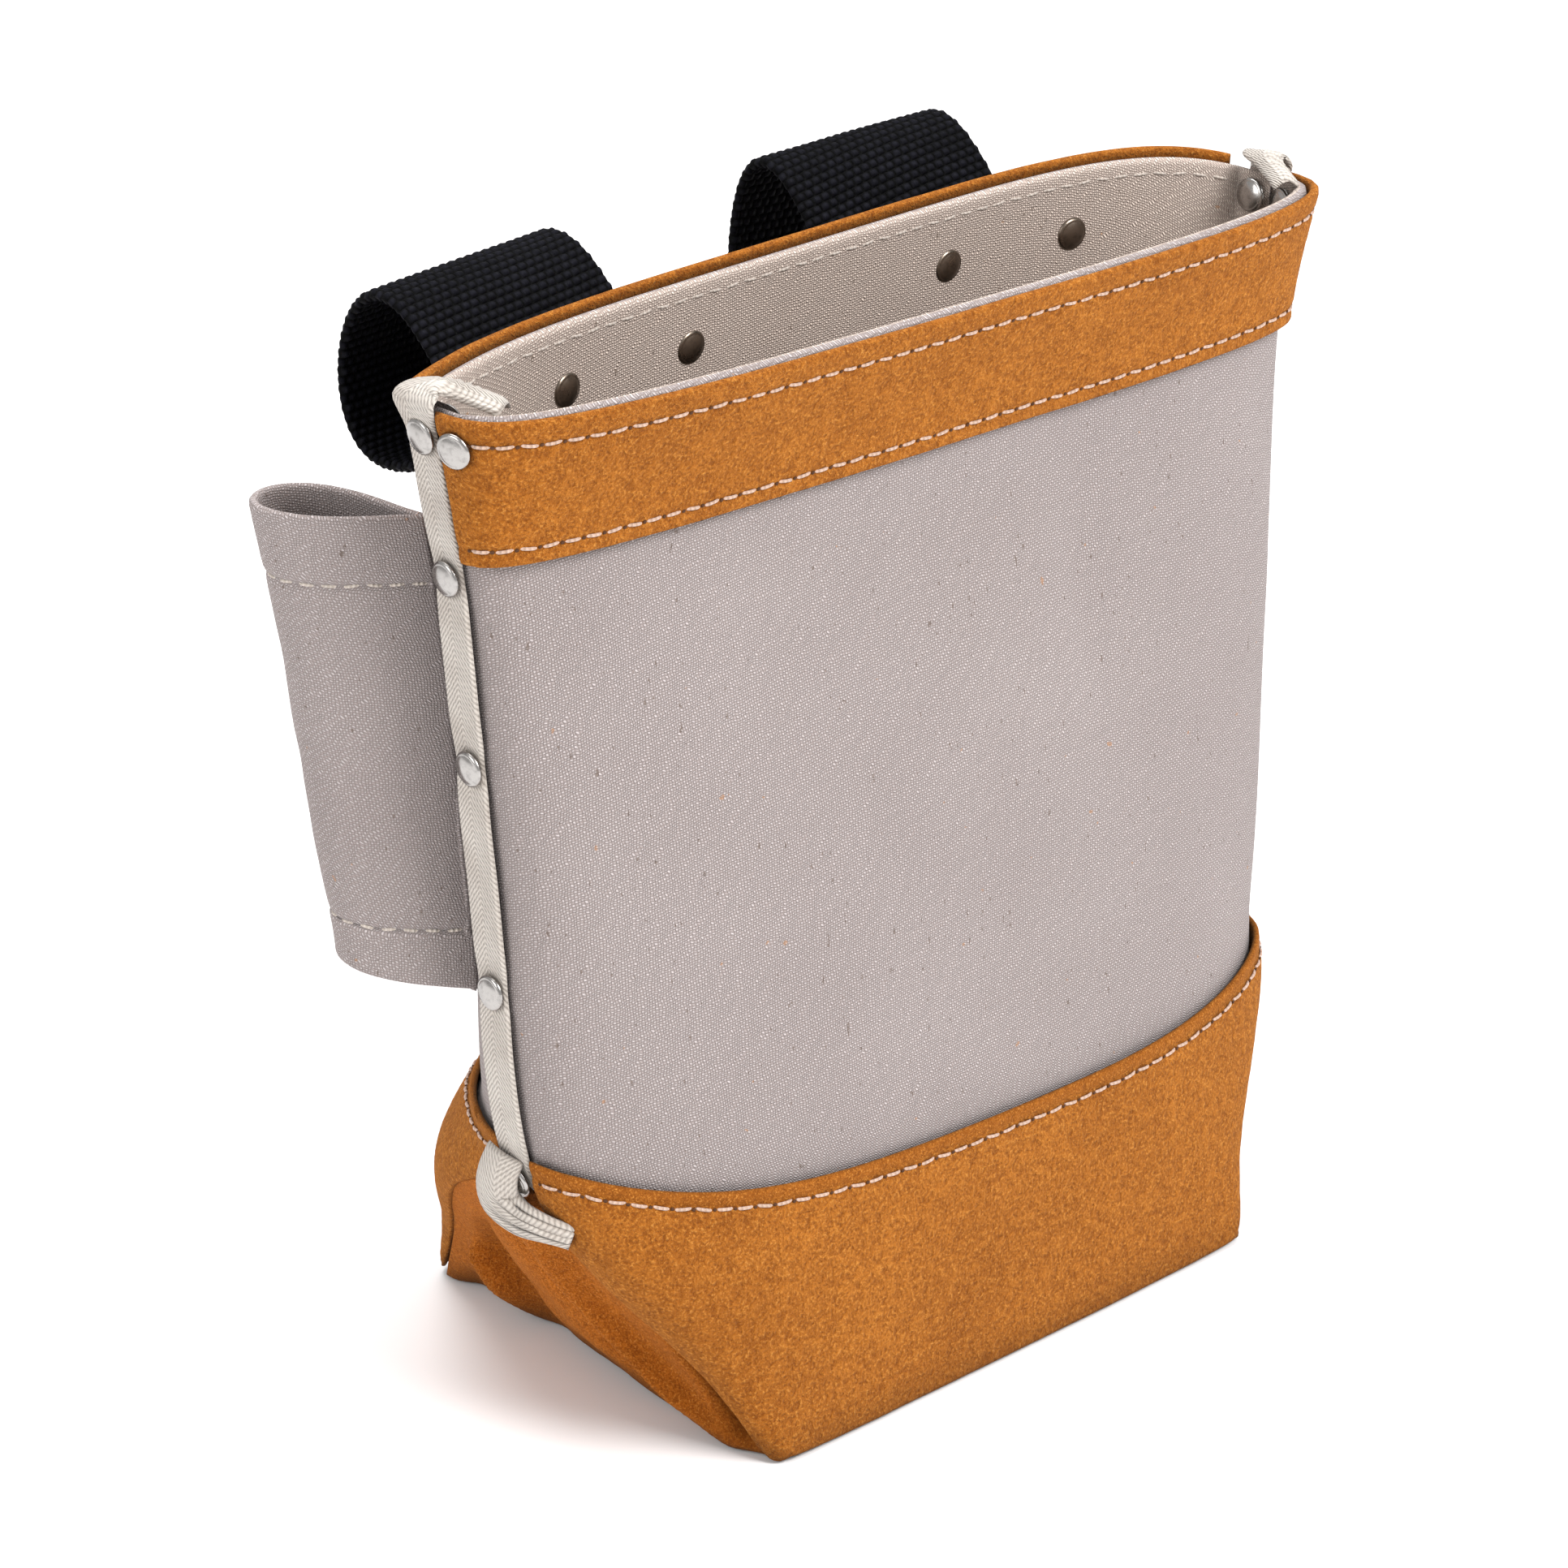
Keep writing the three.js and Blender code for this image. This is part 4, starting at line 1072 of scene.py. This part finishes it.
def sleeve_point(turn, z):
    size = mix(SLEEVE_TAPER, 1.0, (z - SLEEVE_LOW) / (SLEEVE_TOP - SLEEVE_LOW))
    a, b = teardrop(SLEEVE_LENGTH - 1.8, SLEEVE_OPENING - CANVAS, 0.9, turn)
    a, b = a * size, b * size
    cos, sin = math.cos(SLEEVE_HEADING), math.sin(SLEEVE_HEADING)
    x = middle_x(z) - half_width(z) + SLEEVE_INSET + a * cos - b * sin
    y = seam_y(z) + SLEEVE_BEHIND + a * sin + b * cos
    return np.stack([x, y, z + 0 * a], axis=-1)


def sleeve():
    turn = np.linspace(0.04, 2 * math.pi - 0.04, 110)
    z = levels(SLEEVE_LOW, SLEEVE_TOP, 2.2)[0]
    marks = [SLEEVE_TOP - SLEEVE_HEM, SLEEVE_LOW + SLEEVE_HEM - 1]
    z = np.sort(np.concatenate([z, *[m + np.array([-1.2, -0.5, 0, 0.5, 1.2]) for m in marks]]))
    T, Z = np.meshgrid(turn, z, indexing="ij")
    grid = sleeve_point(T, Z)
    far = np.sin(T / 2) ** 2
    grid[..., 2] += 1.6 * far * smooth(Z, 150, 194) + 6.0 * far * (1 - smooth(Z, 97, 120))
    sign = 1 if facing(grid, 1)[55, 20, 0] < 0 else -1
    n = facing(grid, sign)
    puff = np.minimum(rough(grid, 26, 81) * 1.1, 0.35) * np.sin(T / 2) + rough(grid, 9, 82) * 0.2
    hem = sum(groove(Z - m, 1.0, 0.4) for m in marks)
    # Low down, the side next to the bag is drawn in at the neck, so that the sleeve can swing to it.
    eased = 1.1 * np.exp(-((T / 1.6) ** 2)) * (1 - smooth(Z, 126, 150))
    grid = grid + n * (puff + hem - eased)[..., None]
    high = CANVAS / 2 + 0.25 * (smooth(Z, marks[0], marks[0] + 1) + 1 - smooth(Z, marks[1] - 1, marks[1]))
    piece = closed_sheet("sleeve_canvas", grid, sign, -CANVAS / 2, high, 0.9)
    finish(piece, "sleeve", "canvas", "canvas", "bull_pin_sleeve")
    rows = Stitches()
    for m in marks:
        k = int(np.argmin(np.abs(z - m)))
        up = n[3:-3, k]
        rows.row(grid[3:-3, k] + up * (CANVAS / 2 + 0.1), up, pitch=4.2, length=3.3, hole=0)
    rows.piece("sleeve_stitches", "sleeve", "pale_thread")


sleeve()


# ---- rivets --------------------------------------------------------------------------
def revolve(name, profile, place, axis):
    """A solid turned round an axis from a profile of radii and heights."""
    sides = 40
    verts, faces = [], ring_faces(len(profile), sides)
    for r, h in profile:
        for q in range(sides):
            a = 2 * math.pi * q / sides
            verts.append((r * math.cos(a), r * math.sin(a), h))
    faces.append(tuple(range(sides - 1, -1, -1)))
    faces.append(tuple((len(profile) - 1) * sides + q for q in range(sides)))
    turn = np.array(Vector((0, 0, 1)).rotation_difference(Vector(axis)).to_matrix())
    return new_mesh(name, np.array(verts) @ turn.T + place, faces, np.array(verts)[:, :2])


CAP_RISE = 1.3
SHANK = 1.2
# A cap's radii and heights: its rim, a shallow ring and a low dome.
CAP = (
    (3.5, 0.0), (3.56, 0.25), (3.45, 0.55), (3.05, 0.86), (2.9, 0.84),
    (2.75, 0.92), (2.0, 1.2), (1.0, 1.36), (0.25, 1.4),
)


def rivet(node, look, outward, inner_look):
    """A two-piece rivet in place of a packed one: its cap outside and a cap inside."""
    points = np.array([v.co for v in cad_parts[node].data.vertices]) / MM
    centre = (points.min(axis=0) + points.max(axis=0)) / 2
    values, vectors = np.linalg.eigh(np.cov((points - points.mean(axis=0)).T))
    odd = int(np.argmax([abs(values[k] - np.mean(np.delete(values, k))) for k in range(3)]))
    axis = vectors[:, odd]
    if axis @ np.array(outward) < 0:
        axis = -axis
    reach = (points - centre) @ axis
    low, high = reach.min(), reach.max()
    outer, inner = high - CAP_RISE, low + CAP_RISE
    profile = [(r, inner - h) for r, h in reversed(CAP)] + [(SHANK, inner), (SHANK, outer)]
    profile += [(r, outer + h) for r, h in CAP]
    piece = revolve(node + "_cap", profile, centre, axis)
    finish(piece, "bag", look, "nickel", node, more=(inner_look,))
    faces = np.array([p.center for p in piece.data.polygons]) / MM
    paint(piece, (faces - centre) @ axis < (low + high) / 2)


for word, side in SIDES.items():
    for k in range(1, len(RIVET_LEVELS) + 1):
        rivet(f"{word}_tape_rivet_{k}", "nickel", (side, 0, 0), "nickel")
    rivet(word + "_band_rivet", "nickel", (side, -1, 0), "nickel")
    for end in "ab":
        rivet(f"belt_loop_rivet_{word}_{end}", "nickel", (0, 1, 0), "antique")


# ---- floor, light and camera ---------------------------------------------------------
def flat_stage(name, corners, look, color):
    mesh = bpy.data.meshes.new(name)
    mesh.from_pydata(corners, [], [(0, 1, 2, 3)])
    piece = bpy.data.objects.new(name, mesh)
    bpy.context.collection.objects.link(piece)
    mesh.materials.append(Look(look, color, 0.9).material)
    return piece


def floor():
    r = 4.0
    corners = [(-r, -r, 0), (r, -r, 0), (r, r, 0), (-r, r, 0)]
    flat_stage("floor", corners, "floor_pale", (0.93, 0.92, 0.92))


def area_light(name, place, target, size, power, color=(1, 1, 1)):
    data = bpy.data.lights.new(name, "AREA")
    data.shape = "RECTANGLE"
    data.size, data.size_y = size
    data.energy = power
    data.color = color
    lamp = bpy.data.objects.new(name, data)
    lamp.location = place
    lamp.rotation_euler = (Vector(target) - Vector(place)).to_track_quat("-Z", "Y").to_euler()
    bpy.context.collection.objects.link(lamp)


def dark_card():
    """A dark card out of view on the right, which the rivets mirror."""
    near, far = (1.1, -1.5), (1.6, -0.4)
    corners = [(*near, 0), (*far, 0), (*far, 1), (*near, 1)]
    piece = flat_stage("card", corners, "card_dark", (0.02, 0.02, 0.02))
    piece.visible_diffuse = False
    piece.visible_camera = False


floor()
dark_card()
area_light("key", (0.3, -1.3, 1.4), (0, 0, 0.1), (0.9, 0.8), 36)
area_light("fill", (-1.5, 0.1, 0.9), (0, 0, 0.1), (0.9, 0.9), 9)
area_light("top", (0.1, 0.4, 1.7), (0, 0, 0.1), (1.2, 1.2), 22)

world = bpy.data.worlds.new("studio")
world.use_nodes = True
background = world.node_tree.nodes["Background"]
background.inputs["Color"].default_value = (1.0, 0.985, 0.98, 1)
background.inputs["Strength"].default_value = 0.62
bpy.context.scene.world = world
bpy.context.scene.view_settings.view_transform = "Standard"

AZIMUTH, ELEVATION, ROLL = (math.radians(a) for a in (-42.55, 23.75, 0.08))
level = math.cos(ELEVATION)
back_axis = Vector((math.sin(AZIMUTH) * level, -math.cos(AZIMUTH) * level, math.sin(ELEVATION)))
camera_data = bpy.data.cameras.new("camera")
camera_data.lens = 106.0
camera_data.sensor_width = 36.0
camera_data.clip_start = 0.01
camera = bpy.data.objects.new("camera", camera_data)
turn = back_axis.to_track_quat("Z", "Y").to_matrix() @ Matrix.Rotation(ROLL, 3, "Z")
camera.rotation_euler = turn.to_euler()
camera.location = (-0.5927, -0.6265, 0.4890)
bpy.context.collection.objects.link(camera)
bpy.context.scene.camera = camera
